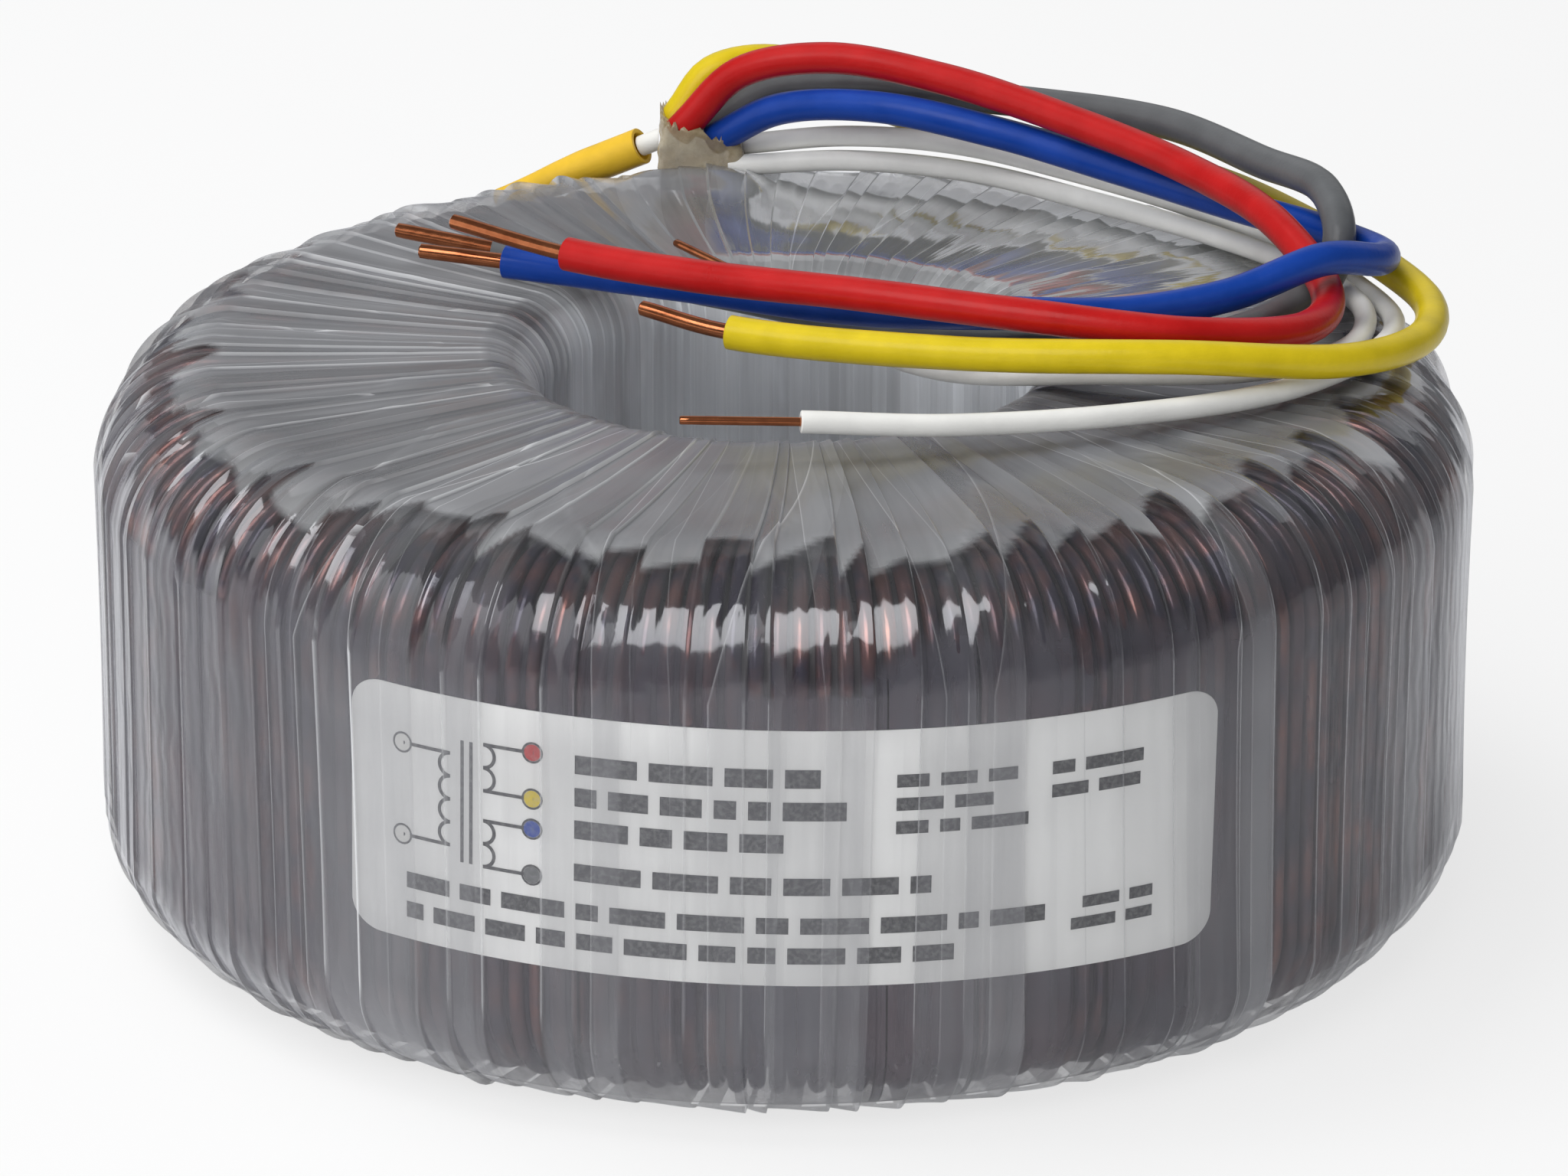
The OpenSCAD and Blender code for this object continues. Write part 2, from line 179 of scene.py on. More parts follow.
class ToroidStage(bpy.types.PropertyGroup):
    lens: FloatProperty(
        name="Lens", description="Focal length in millimetres", default=185.1)
    floor_colour: FloatVectorProperty(
        name="Floor", description="Colour of the floor", default=(0.88, 0.88, 0.88),
        subtype="COLOR")
    key_power: FloatProperty(
        name="Key", description="Power of the overhead panel", default=3.8, unit="POWER")
    fill_power: FloatProperty(
        name="Fill", description="Power of the front panels", default=3.1, unit="POWER")
    room_level: FloatProperty(
        name="Room", description="Brightness of the white room", default=0.20)


# ---------------------------------------------------------------- mesh helpers


def add_mesh(name, points, faces, smooth=True):
    """A new object whose place is in its mesh."""
    mesh = bpy.data.meshes.new(name)
    mesh.from_pydata([tuple(map(float, p)) for p in points], [], faces)
    mesh.validate()
    mesh.polygons.foreach_set("use_smooth", [smooth] * len(mesh.polygons))
    mesh.update()
    piece = bpy.data.objects.new(name, mesh)
    bpy.context.scene.collection.objects.link(piece)
    return piece


def place(piece, slot, material, *nodes):
    """Rides the piece on the body, and stands it for the nodes it replaces."""
    piece.data.materials.append(material)
    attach(piece, "root")
    if nodes:
        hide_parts(*nodes)
    return piece


def dress(node, material):
    """Gives a carried-over node its finish."""
    piece = NODES[node]
    for slot in piece.material_slots:
        slot.material = material
    if not piece.material_slots:
        piece.data.materials.append(material)


def ease(x):
    """Rises smoothly from 0 to 1."""
    x = np.clip(x, 0.0, 1.0)
    return x * x * (3 - 2 * x)


def unit(v):
    return v / np.linalg.norm(v)


def times(colour, *factors):
    """The colour scaled, by one factor or by one for each channel."""
    return [c * k for c, k in zip(colour, factors * (3 // len(factors)))]


def towards(a, b, start, stop, t):
    """The point that is at a when t is start, and at b when it is stop."""
    return (stop - t) / (stop - start) * a + (t - start) / (stop - start) * b


def smooth_route(points, step=0.8 * MM):
    """A centripetal spline through the points, and the length at which each lies."""
    p = np.array(points, float)
    p = np.vstack([2 * p[0] - p[1], p, 2 * p[-1] - p[-2]])
    out, marks, run = [p[1]], [0.0], 0.0
    for a, b, c, d in zip(p[:-3], p[1:-2], p[2:-1], p[3:]):
        t0 = 0.0
        t1 = np.linalg.norm(b - a) ** 0.5
        t2 = t1 + np.linalg.norm(c - b) ** 0.5
        t3 = t2 + np.linalg.norm(d - c) ** 0.5
        count = max(3, int(np.linalg.norm(c - b) / step))
        for t in np.linspace(t1, t2, count + 1)[1:]:
            bc = towards(b, c, t1, t2, t)
            abc = towards(towards(a, b, t0, t1, t), bc, t0, t2, t)
            bcd = towards(bc, towards(c, d, t2, t3, t), t1, t3, t)
            q = towards(abc, bcd, t1, t2, t)
            run += np.linalg.norm(q - out[-1])
            out.append(q)
        marks.append(run)
    return np.array(out), marks


def rings(line, radii, sides, flat=None):
    """Rings of points round a line, turning with it without twist, flattened if told."""
    line = np.array(line, float)
    heading = np.gradient(line, axis=0)
    heading /= np.linalg.norm(heading, axis=1)[:, None]
    side = unit(np.cross(heading[0], [0.3, 0.2, 1.0]))
    a = np.arange(sides)[:, None] * TAU / sides
    out = []
    for p, h, radius, thin in zip(line, heading, radii, flat or [1.0] * len(line)):
        side = unit(side - side.dot(h) * h)
        out.append(p + radius * (np.cos(a) * side + thin * np.sin(a) * np.cross(h, side)))
    return out


def skin(loops):
    """Faces between loops of equal length, closed at both ends."""
    n = len(loops[0])
    faces = [(k * n + j, k * n + (j + 1) % n, (k + 1) * n + (j + 1) % n, (k + 1) * n + j)
             for k in range(len(loops) - 1) for j in range(n)]
    last = (len(loops) - 1) * n
    faces += [tuple(range(n - 1, -1, -1)), tuple(range(last, last + n))]
    return np.concatenate(loops), faces


# ---------------------------------------------------------------- material helpers


class Finish:
    """A material under construction."""

    def __init__(self, name):
        self.material = bpy.data.materials.new(name)
        self.material.use_nodes = True
        self.tree = self.material.node_tree
        self.tree.nodes.clear()
        self.output = self.tree.nodes.new("ShaderNodeOutputMaterial")
        self.shader = self.tree.nodes.new("ShaderNodeBsdfPrincipled")
        self.link(self.shader.outputs[0], self.output.inputs["Surface"])

    def link(self, source, target):
        self.tree.links.new(source, target)

    def node(self, kind, inputs=None, **settings):
        made = self.tree.nodes.new("ShaderNode" + kind)
        for key, value in settings.items():
            setattr(made, key, value)
        for key, value in (inputs or {}).items():
            self.feed(made.inputs[key], value)
        return made

    def feed(self, socket, value):
        if isinstance(value, bpy.types.NodeSocket):
            self.link(value, socket)
        elif hasattr(value, "__len__") and len(value) == 3 and socket.type == "RGBA":
            socket.default_value = (*value, 1.0)
        else:
            socket.default_value = value

    def set(self, **values):
        """Feeds the shader's sockets, named with underscores."""
        for key, value in values.items():
            self.feed(self.shader.inputs[key.replace("_", " ")], value)

    def math(self, operation, a, b=0.0, clamp=False):
        return self.node("Math", {0: a, 1: b}, operation=operation,
                         use_clamp=clamp).outputs[0]

    def mix(self, share, a, b):
        """A colour between a and b."""
        return self.node("Mix", {0: share, 6: a, 7: b}, data_type="RGBA").outputs[2]

    def ramp(self, value, low, high, to_low=0.0, to_high=1.0):
        """The value carried from one range to another, and held at its ends."""
        return self.node("MapRange", {"Value": value, "From Min": low, "From Max": high,
                                      "To Min": to_low, "To Max": to_high}).outputs[0]

    def noise(self, scale, detail=3.0, roughness=0.55, where=None):
        inputs = {"Scale": scale, "Detail": detail, "Roughness": roughness}
        inputs["Vector"] = self.place() if where is None else where
        return self.node("TexNoise", inputs).outputs[0]

    def place(self):
        return self.node("TexCoord").outputs["Object"]

    def stretched(self, scale, where=None):
        return self.node("Mapping", {"Vector": where or self.place(),
                                     "Scale": scale}).outputs[0]

    def attribute(self, name):
        return self.node("Attribute", attribute_name=name).outputs["Fac"]

    def bump(self, height, distance, strength=1.0, below=None):
        inputs = {"Height": height, "Distance": distance, "Strength": strength}
        if below is not None:
            inputs["Normal"] = below
        return self.node("Bump", inputs).outputs[0]


def pvc(name, colour, gloss=0.32, mottle=0.10):
    """Extruded soft sleeving: even colour, faint mottling and a fine grain."""
    f = Finish(name)
    cloud = f.noise(260.0, 4.0)
    fine = f.noise(1900.0, 3.0)
    light = [min(1.0, c + 0.004) for c in times(colour, 1 + mottle)]
    f.set(Base_Color=f.mix(f.ramp(cloud, 0.3, 0.7), times(colour, 1 - mottle), light),
          Roughness=f.ramp(cloud, 0.25, 0.75, gloss - 0.05, gloss + 0.09),
          Normal=f.bump(fine, 0.06 * MM, 0.5),
          IOR=1.52, Specular_IOR_Level=0.22, Coat_Weight=0.12, Coat_Roughness=0.2)
    return f.material


def drawn_copper(name, colour):
    """Bare wire with scraping marks and a slight tarnish."""
    f = Finish(name)
    cloud = f.noise(420.0, 3.0)
    scrape = f.noise(1.0, 3.0, where=f.stretched((160.0, 2600.0, 2600.0)))
    dull = times(colour, 0.62, 0.5, 0.45)
    f.set(Base_Color=f.mix(f.ramp(cloud, 0.45, 0.80), colour, dull),
          Metallic=1.0,
          Roughness=f.ramp(scrape, 0.3, 0.7, 0.10, 0.22),
          Normal=f.bump(scrape, 0.02 * MM, 0.35))
    return f.material


# ---------------------------------------------------------------- leads

TOP = BODY_H / MM

# the exit tape, in millimetres: its sides, its height above the ring at the left, and how
# much its top face falls for each millimetre to the right
EXIT_LEFT, EXIT_RIGHT, EXIT_FRONT, EXIT_DEPTH = -11.4, -3.7, 46.4, 6.7
EXIT_RISE, EXIT_FALL = 5.6, 0.3

# how a lead is cut, in millimetres: how far its sleeve starts inside the exit tape and its
# bare wire inside the sleeve, the gap between them, and the rounding of the sleeve's end
SLEEVE_HIDDEN, WIRE_HIDDEN, BORE_GAP, CUT_ROUND = 1.2, 1.5, 0.06, 0.07
SLEEVE_SIDES, WIRE_SIDES, SHARP_ANGLE = 20, 16, math.radians(40)

# the nipped tip of a wire: its length in millimetres, its share of the wire's radius, and
# how flat its two last rings are
TIP_LENGTH, TIP_SHARE, TIP_FLAT = 0.12, 0.82, [0.96, 0.9]


def on_exit(x, y):
    """A point on the exit tape's top face."""
    return (x, y, EXIT_RISE - EXIT_FALL * (x - EXIT_LEFT))


# from the exit tape to the end of each sleeve, then the tip of its wire:
# x, y and the height above the top of the ring, in millimetres
ROUTES = {
    "red": [on_exit(-8.8, 48.2), (-4, 47, 10), (4, 45, 12), (14, 40.5, 11.5), (25, 33, 10),
            (35.5, 23, 8.5), (42.5, 11, 7.5), (46.5, 0.5, 4.5), (44, -9, 4.5),
            (34.5, -15, 6), (21.5, -15, 7.5), (6.5, -10.5, 8), (-7.5, -4, 7.5),
            (-18.5, 2, 7.5), (-28.5, 8, 8.5)],
    "yellow": [on_exit(-9.4, 51.4), (-6.5, 52.5, 8.5), (0, 54, 9), (8.5, 50.5, 6),
               (18.5, 45.5, 4.5), (29.5, 38.5, 5), (39.5, 30.5, 4.5), (46.5, 20.5, 4),
               (52.5, 12, 3), (55.5, 3, 2.5), (54, -6, 2.5), (47, -14.5, 3.5),
               (33, -19.5, 5.5), (14.5, -18.5, 5.5), (-4.5, -13, 5.5), (-12, -9.5, 6.5)],
    "blue": [on_exit(-5.4, 48.2), (-0.5, 45.5, 7), (8, 41.5, 8.5), (19.5, 36.5, 7.5),
             (31, 29.5, 6), (40.5, 21, 5.5), (47.5, 14, 5.5), (51.5, 8.5, 5.5),
             (51, 3.5, 6.5), (46, -1, 8), (38, -4.5, 6), (29, -6.5, 5), (19, -8, 5.5),
             (6.5, -5.5, 5), (-7.5, 2, 4.5), (-24, 9, 4.5), (-31.5, 10.5, 5)],
    "grey": [on_exit(-6, 51.4), (-1, 51, 7), (8, 47, 8.5), (21.5, 43, 8.5), (34, 35, 9),
             (42, 23.5, 9), (47, 13.5, 9.5), (48, 8.5, 7), (47, 7.5, 3.5), (43.5, 4, 2),
             (38, -3, 2), (28.5, -8, 2), (14.5, -4.5, 2), (-4.5, 7.5, 2), (-25, 18.5, 2.5),
             (-34, 22.5, 3)],
    "white_1": [(EXIT_RIGHT, 50, 2.3), (5.5, 47, 4), (15.5, 43, 4.5), (26, 38, 3.5),
                (36.5, 30.5, 2.5), (44.5, 22.5, 1.5), (50, 13, 1), (52.5, 3, 1),
                (49.5, -7.5, 1.5), (41, -17, 1.5), (28, -24, 2), (13.5, -28, 2.5),
                (1.5, -30, 3.5), (-8.5, -31, 4)],
    "white_2": [(EXIT_RIGHT, 47.5, 1.1), (6, 46, 2), (17, 42.5, 2), (27.5, 35.5, 1.5),
                (38, 25.5, 1.5), (46.5, 14.5, 1.5), (50, 4, 1.5), (47.5, -6, 1.5),
                (38.5, -13, 2), (26, -13.5, 2), (14, -5.5, -0.5), (4.5, 6, -1),
                (-2.5, 15.5, 0.5), (-9.5, 23.5, 1.5)],
}


def lead_nodes(name):
    """The nodes of a lead's sleeve and of its bare end."""
    if name.startswith("white"):
        return "white_sleeve_" + name[-1], "white_wire_end_" + name[-1]
    return name + "_sleeve", name + "_wire_end"


def uneven(points, radius, amount, scale):
    """A radius at each point that wavers by a small share of itself."""
    return [radius * (1 + amount * noise.noise(Vector(p) * scale)) for p in points]


def build_sleeve(name, covered, end, sleeve_d, wire_d):
    """The sleeve, from inside the exit tape to its cut end round the wire."""
    inward = unit(covered[0] - covered[1])
    body = np.vstack([covered[0] + inward * SLEEVE_HIDDEN * MM, covered])
    radii = uneven(body, sleeve_d / 2, 0.015, 160)
    loops = rings(body, radii, SLEEVE_SIDES)
    bore = wire_d / 2 + BORE_GAP * MM
    centre, rim = body[-1], loops[-1]
    for along, radius in ((0.06, sleeve_d / 2 - CUT_ROUND * MM), (0.07, bore + 0.05 * MM),
                          (0.02, bore), (-0.8, bore)):
        loops.append(centre + end * along * MM + (rim - centre) * (radius / radii[-1]))
    return add_mesh(name + "_lead_sleeve", *skin(loops))


def build_wire(name, bare, end, wire_d):
    """The bare wire, from inside the sleeve to its nipped tip."""
    tip = unit(bare[-1] - bare[-2])
    core = np.vstack([bare[0] - end * WIRE_HIDDEN * MM, bare[:-1],
                      bare[-1] - tip * TIP_LENGTH * MM, bare[-1]])
    radii = uneven(core, wire_d / 2, 0.02, 700)
    radii[-1] *= TIP_SHARE
    flat = [1.0] * (len(core) - len(TIP_FLAT)) + TIP_FLAT
    return add_mesh(name + "_lead_wire", *skin(rings(core, radii, WIRE_SIDES, flat)))


def build_lead(name, sleeve_d, wire_d, tube_finish, wire_finish):
    """A lead's sleeve and wire along its route."""
    route = [Vector((x, y, h + TOP)) * MM for x, y, h in ROUTES[name]]
    line, marks = smooth_route(route)
    lengths = np.r_[0.0, np.cumsum(np.linalg.norm(np.diff(line, axis=0), axis=1))]
    length = float(marks[-2])
    last = int(np.argmin(abs(lengths - length)))
    covered, bare = line[:last + 1], line[last:]
    end = unit(covered[-1] - covered[-2])

    sleeve_node, wire_node = lead_nodes(name)
    sleeve = build_sleeve(name, covered, end, sleeve_d, wire_d)
    place(sleeve, name.split("_")[0] + "_tube", tube_finish, sleeve_node)
    wire = build_wire(name, bare, end, wire_d)
    place(wire, "bare_copper", wire_finish, wire_node)
    for piece in (sleeve, wire):
        piece.data.set_sharp_from_angle(angle=SHARP_ANGLE)


class TOROID_OT_leads(bpy.types.Operator):
    """Build the six sleeved leads and their bare ends"""

    bl_idname = "toroid.leads"
    bl_label = "Leads"

    def execute(self, context):
        settings = context.scene.toroid_leads
        copper = drawn_copper("drawn_copper", settings.copper)
        white = pvc("white_sleeving", settings.white, 0.38, 0.05)
        for name in ROUTES:
            thin = name.startswith("white")
            finish = white if thin else pvc(name + "_sleeving", getattr(settings, name))
            build_lead(name, settings.thin_sleeve if thin else settings.sleeve,
                       settings.thin_wire if thin else settings.wire, finish, copper)
        dress("joint_lead", white)
        return {"FINISHED"}


# ---------------------------------------------------------------- film wrap

# the parts of the film's outline, from the middle of the hole over the top and back
WALL_ABOVE, LIP, TOP_FACE, SHOULDER, SIDE, FOOT, BASE, LIP_BELOW, WALL_BELOW = range(9)

# where the columns of points stand across a turn of film: close together at its edges
COLUMNS = np.array([0.015, 0.05, 0.14, 0.28, 0.43, 0.58, 0.73, 0.86, 0.95, 0.985])
LOWER_COLUMNS = 6

# how many creases cross the top, how far they rise and how wide they are
CREASES, CREASE_RISE, CREASE_WIDTH = 110, 0.08 * MM, 0.34 * MM

# the hood of film against the exit tape, in millimetres
HOOD_X, HOOD_Y, HOOD_WIDE, HOOD_DEEP, HOOD_RISE = -8.0, EXIT_FRONT - 1.0, 6.0, 2.6, 1.5

# angles round the ring between which the film is drawn smooth, and between which one
# broad sheet closes it in front of the exit tape
POLISHED, SHEET = (0.0, 1.85), (1.50, 2.25)

# the run of film that makes one unit of its map
MAP_UNIT = 60 * MM


class Outline:
    """The film's section. Down its points, each in a row of its own: the radius and height,
    the normal, the part of the ring, how far along that part, and the run of film."""

    def __init__(self, settings):
        hole, lip = settings.hole_radius, settings.lip_round
        top, base = settings.top_round, settings.base_round
        middle = BODY_H / 2
        self.points = []
        self.straight(WALL_ABOVE, (hole, middle), (hole, BODY_H - lip), 11)
        self.arc(LIP, (hole + lip, BODY_H - lip), lip, 180, 10)
        self.straight(TOP_FACE, (hole + lip, BODY_H), (BODY_R - top, BODY_H), 22)
        self.arc(SHOULDER, (BODY_R - top, BODY_H - top), top, 90, 30)
        self.straight(SIDE, (BODY_R, BODY_H - top), (BODY_R, base), 12)
        self.arc(FOOT, (BODY_R - base, base), base, 0, 11)
        self.straight(BASE, (BODY_R - base, 0), (hole + lip, 0), 3)
        self.arc(LIP_BELOW, (hole + lip, lip), lip, 270, 5)
        self.straight(WALL_BELOW, (hole, lip), (hole, middle), 4)
        table = np.array(self.points)
        self.radius, self.height, self.normal_r, self.normal_z, self.part, self.along = (
            table[:, [i]] for i in range(6))
        steps = np.linalg.norm(np.diff(table[:, :2], axis=0, append=table[:1, :2]), axis=1)
        self.run = np.r_[0.0, np.cumsum(steps)[:-1]][:, None]

    def straight(self, part, a, b, count):
        """As many points as told from a on, with the one at b left to the next part."""
        a, b = np.array(a), np.array(b)
        d = unit(b - a)
        for t in np.arange(count) / count:
            self.points.append((*(a + (b - a) * t), -d[1], d[0], part, t))

    def arc(self, part, centre, radius, start, count):
        """A quarter turn, clockwise from the start angle."""
        for t in np.arange(count) / count:
            a = math.radians(start - 90 * t)
            n = np.array([math.cos(a), math.sin(a)])
            self.points.append((*(np.array(centre) + radius * n), *n, part, t))

    def by_part(self, values, other):
        """A value down the outline, given for some of its parts."""
        return np.select([self.part == part for part in values], list(values.values()), other)


class Turns:
    """The turns of film round the ring. For each column of points: its turn, its share of
    that turn's width, and its angle at the outside."""

    def __init__(self, settings, rng):
        self.count = settings.strips
        edges = np.arange(self.count) + rng.uniform(-0.30, 0.30, self.count)
        edges *= TAU / self.count
        widths = np.diff(np.r_[edges, edges[0] + TAU])
        self.turn = np.repeat(np.arange(self.count), len(COLUMNS))
        self.share = np.tile(COLUMNS, self.count)
        self.angle = edges[self.turn] + self.share * widths[self.turn]

    def draw(self, rng, low, high):
        """A random value for each turn."""
        return rng.uniform(low, high, self.count)[self.turn]


def wave(angle, rng, counts, spread=1.0):
    """A smooth curve round the ring, the sum of a few seeded waves."""
    total = np.zeros_like(angle)
    for n in counts:
        total += rng.normal() * spread / math.sqrt(len(counts)) * np.sin(
            n * angle + rng.uniform(0, TAU))
    return total


def between(value, bounds, rise, fall):
    """1 between the bounds and 0 outside them, eased over the two widths."""
    return ease((value - bounds[0]) / rise) * ease((bounds[1] - value) / fall)


def ring_faces(rows, columns, closed=True):
    """Faces of a grid of points that closes round the ring, and down its section too."""
    k = np.arange(rows)[:, None] * columns
    j = np.arange(columns)
    k2, j2 = np.roll(k, -1, axis=0), np.roll(j, -1)
    faces = np.stack([k + j, k2 + j, k2 + j2, k + j2], axis=2)
    return (faces if closed else faces[:-1]).reshape(-1, 4)


def store(piece, name, values):
    """Keeps a value at each point of the piece, for its material."""
    layer = piece.data.attributes.new(name, "FLOAT", "POINT")
    layer.data.foreach_set("value", values.ravel().astype(np.float32))


def leaning(outline, turns, rng):
    """The angle of each point: turns lean as they cross the top, and waver down the side."""
    along = outline.along
    side = wave(turns.angle, rng, (5, 9, 14), 0.010)
    top = 0.035 + wave(turns.angle, rng, (2, 3, 5, 8), 0.055)
    inward = outline.by_part({WALL_ABOVE: 1.0, LIP: 1.0, TOP_FACE: 1 - along * 0.92,
                              SHOULDER: 0.08 * (1 - along), BASE: along, LIP_BELOW: 1.0,
                              WALL_BELOW: 1.0}, 0.0)
    down = outline.by_part({SIDE: along, FOOT: 1.0, BASE: 1.0, LIP_BELOW: 1.0,
                            WALL_BELOW: 1.0}, 0.0)
    return turns.angle + inward ** 0.8 * top + down * side


def lap_lift(outline, turns, settings, rng):
    """How far the film stands off its outline, or below it where it is drawn tight."""
    part, along, share = outline.part, outline.along, turns.share
    bend = np.sin(math.pi * along)
    # each turn rises to its free edge, then drops to the next
    lap = settings.lap * (0.45 + turns.draw(rng, 0, 1) ** 1.5 * 1.1)
    grow = outline.by_part({WALL_ABOVE: 0.5, LIP: 0.8, TOP_FACE: 0.75 + 0.4 * along,
                            SHOULDER: 1.15 + 1.3 * bend, SIDE: 1.1 - 0.5 * bend,
                            FOOT: 0.9 + 0.5 * bend}, 0.7)
    pucker = turns.draw(rng, -0.5, 1.0)
    lift = grow * (lap * (share ** 1.3 + 0.8 * pucker * share * (1 - share)))
    # a few turns bridge the shoulder and stand off the wires below them
    bridge = turns.draw(rng, 0, 1) ** 3 * np.sin(math.pi * share) ** 0.7
    lift = lift + (part == SHOULDER) * bend ** 2 * bridge * 0.45 * MM
    tight = outline.by_part({TOP_FACE: 0.12, SHOULDER: 0.12 + 0.62 * bend,
                             FOOT: 0.10 + 0.80 * bend}, 0.10)
    drift = wave(turns.angle, rng, (17, 29, 41, 60), 0.10 * MM)
    lift = lift - tight * MM + drift * grow
    # never down to the first turns, which lie below
    corner = bend * ((part == SHOULDER) | (part == FOOT))
    return np.maximum(lift, -(0.26 + 0.60 * corner) * MM)


def creases(outline, angle, rng):
    """Slanting creases over the top, where the turns crowd towards the hole."""
    crease = np.zeros_like(angle)
    lip, side = (outline.run[np.argmax(outline.part == part)] for part in (LIP, SIDE))
    run, reach = outline.run - lip, side - lip
    share = run / reach
    for _ in range(CREASES):
        at = rng.uniform(0, TAU)
        slope = rng.normal(0, 0.30) / (36 * MM)
        start, stretch = rng.uniform(-0.25, 0.75), rng.uniform(0.15, 0.6)
        power = rng.uniform(0.4, 1.0) * rng.choice([1.0, 1.0, -0.6])
        here = at + slope * (run - start * reach) * (1 + 0.5 * share)
        gap = ((angle - here + math.pi) % TAU - math.pi) * outline.radius
        fade = between(share, (start, start + stretch), 0.06, 0.10)
        crease += power * fade * np.exp(-(gap / CREASE_WIDTH) ** 2)
    return crease


def hood(outline, angle):
    """The turns stand up as an arched hood against the exit tape."""
    x, y = (outline.radius / MM * turned(angle) for turned in (np.cos, np.sin))
    return (outline.part == TOP_FACE) * HOOD_RISE * MM * np.exp(
        -((x - HOOD_X) / HOOD_WIDE) ** 4 - ((y - HOOD_Y) / HOOD_DEEP) ** 2)


def film_haze(outline, turns, crease, rng):
    """How milky each point is, and how much painted highlight an edge of film there gets."""
    along, share = outline.along, turns.share
    own = turns.draw(rng, 0, 1)
    veil = wave(turns.angle, rng, (3, 4, 7, 11), 0.10)
    # how far down the shoulder each turn stays milky before it lies clear on the wires
    clear_from = 0.10 + 0.06 * wave(turns.angle, rng, (6, 13, 22)) + (
        turns.draw(rng, -0.10, 0.22) + turns.draw(rng, -0.30, 0.16) * share)
    region = outline.by_part({
        WALL_ABOVE: 0.74, LIP: 0.76, TOP_FACE: 0.82 - 0.10 * along ** 3,
        SIDE: 0.19 * ease((along - 0.02) / 0.12), FOOT: 0.19 + 0.04 * along}, 0.3)
    region = np.where(outline.part == SHOULDER,
                      0.74 * (1 - ease((along - clear_from) / 0.07)), region)
    weight = outline.by_part({TOP_FACE: 0.26, SIDE: 0.28, FOOT: 0.4}, 0.22)
    haze = region + weight * (own - 0.5) + veil * 0.4 + 0.15 * crease
    # four edges in five get a painted highlight, the free one more than the one that it laps
    # over
    edge = np.where(turns.draw(rng, 0, 1) < 0.8, turns.draw(rng, 0.35, 1), 0.0)
    edge = edge * np.select([share > 0.97, share < 0.03], [1.0, 0.5], 0.0)
    edge = edge * outline.by_part({SHOULDER: 0.35, SIDE: 0.8, TOP_FACE: 0.8}, 0.2)
    sheet = between(turns.angle, SHEET, 0.10, 0.25) * (outline.part <= TOP_FACE)
    return np.clip(haze * (1 - sheet) + 0.80 * sheet, 0, 1), edge * (1 - sheet) - sheet


def film_polish(outline, turns):
    """How smooth and mirror-like the film is drawn at each point."""
    along = outline.along
    polish = outline.by_part({SHOULDER: ease(along / 0.4) - 0.75 * ease((along - 0.55) / 0.45),
                              SIDE: 0.25, FOOT: 0.4}, 0.0)
    return np.maximum(polish, between(turns.angle, POLISHED, 0.35, 0.25))


def map_turns(piece, outline, turns, faces):
    """A map of the wound film: round the ring, and along the run of a turn."""
    across = np.tile(turns.angle / TAU, len(outline.run))[faces]
    # faces that close the ring stay narrow on the map
    across[np.ptp(across, axis=1) > 0.5] %= 1.0
    down = np.repeat(outline.run[:, 0] / MAP_UNIT, len(turns.angle))[faces]
    layer = piece.data.uv_layers.new(name="wound")
    layer.data.foreach_set(
        "uv", np.stack([across, down], axis=2).ravel().astype(np.float32))


def build_film(settings):
    """The lapped turns of film, closed round the ring and through its hole."""
    rng = np.random.default_rng(11)
    outline, turns = Outline(settings), Turns(settings, rng)
    angle = leaning(outline, turns, rng)
    lift = lap_lift(outline, turns, settings, rng)
    crease = creases(outline, angle, rng)
    lift = lift + crease * CREASE_RISE + hood(outline, angle)
    r = outline.radius + outline.normal_r * lift
    z = np.maximum(outline.height + outline.normal_z * lift, 0.0)
    points = np.stack([r * np.cos(angle), r * np.sin(angle), z], axis=2).reshape(-1, 3)
    faces = ring_faces(*angle.shape)
    film = add_mesh("film_wrap", points, faces)
    haze, edge = film_haze(outline, turns, crease, rng)
    store(film, "haze", haze)
    store(film, "film_edge", edge)
    store(film, "polish", film_polish(outline, turns))
    map_turns(film, outline, turns, faces)
    return film


def build_lower_laps(settings):
    """The film's first turns, which lie between the wires and the label."""
    rng = np.random.default_rng(23)
    outline = Outline(settings)
    part, along = outline.part, outline.along
    rows = (((part == SHOULDER) & (along > 0.3)) | (part == SIDE) | (part == FOOT))[:, 0]
    part, along = part[rows], along[rows]
    depth = settings.lap_depth + 0.55 * MM * np.sin(math.pi * along) * (part != SIDE)
    radius = outline.radius[rows] - depth * outline.normal_r[rows]
    height = outline.height[rows] - depth * outline.normal_z[rows]
    count = settings.strips
    turn = np.repeat(np.arange(count), LOWER_COLUMNS)
    share = np.tile(np.arange(LOWER_COLUMNS) / LOWER_COLUMNS, count)
    angle = (turn + share + rng.uniform(-0.3, 0.3, count)[turn]) * TAU / count
    points = np.stack([radius * np.cos(angle), radius * np.sin(angle), height + 0 * angle],
                      axis=2)
    piece = add_mesh("film_lower_laps", points.reshape(-1, 3),
                     ring_faces(len(height), len(angle), closed=False))
    # each turn fades out on its way up the shoulder
    full_from = 0.66 + 0.14 * wave(angle, rng, (5, 11, 19)) + 0.10 * rng.normal(
        size=count)[turn]
    rim = np.where(part == SHOULDER, ease((along - full_from) / 0.2), 1.0)
    store(piece, "haze", rim * rng.uniform(0.36, 0.82, count)[turn])
    return piece


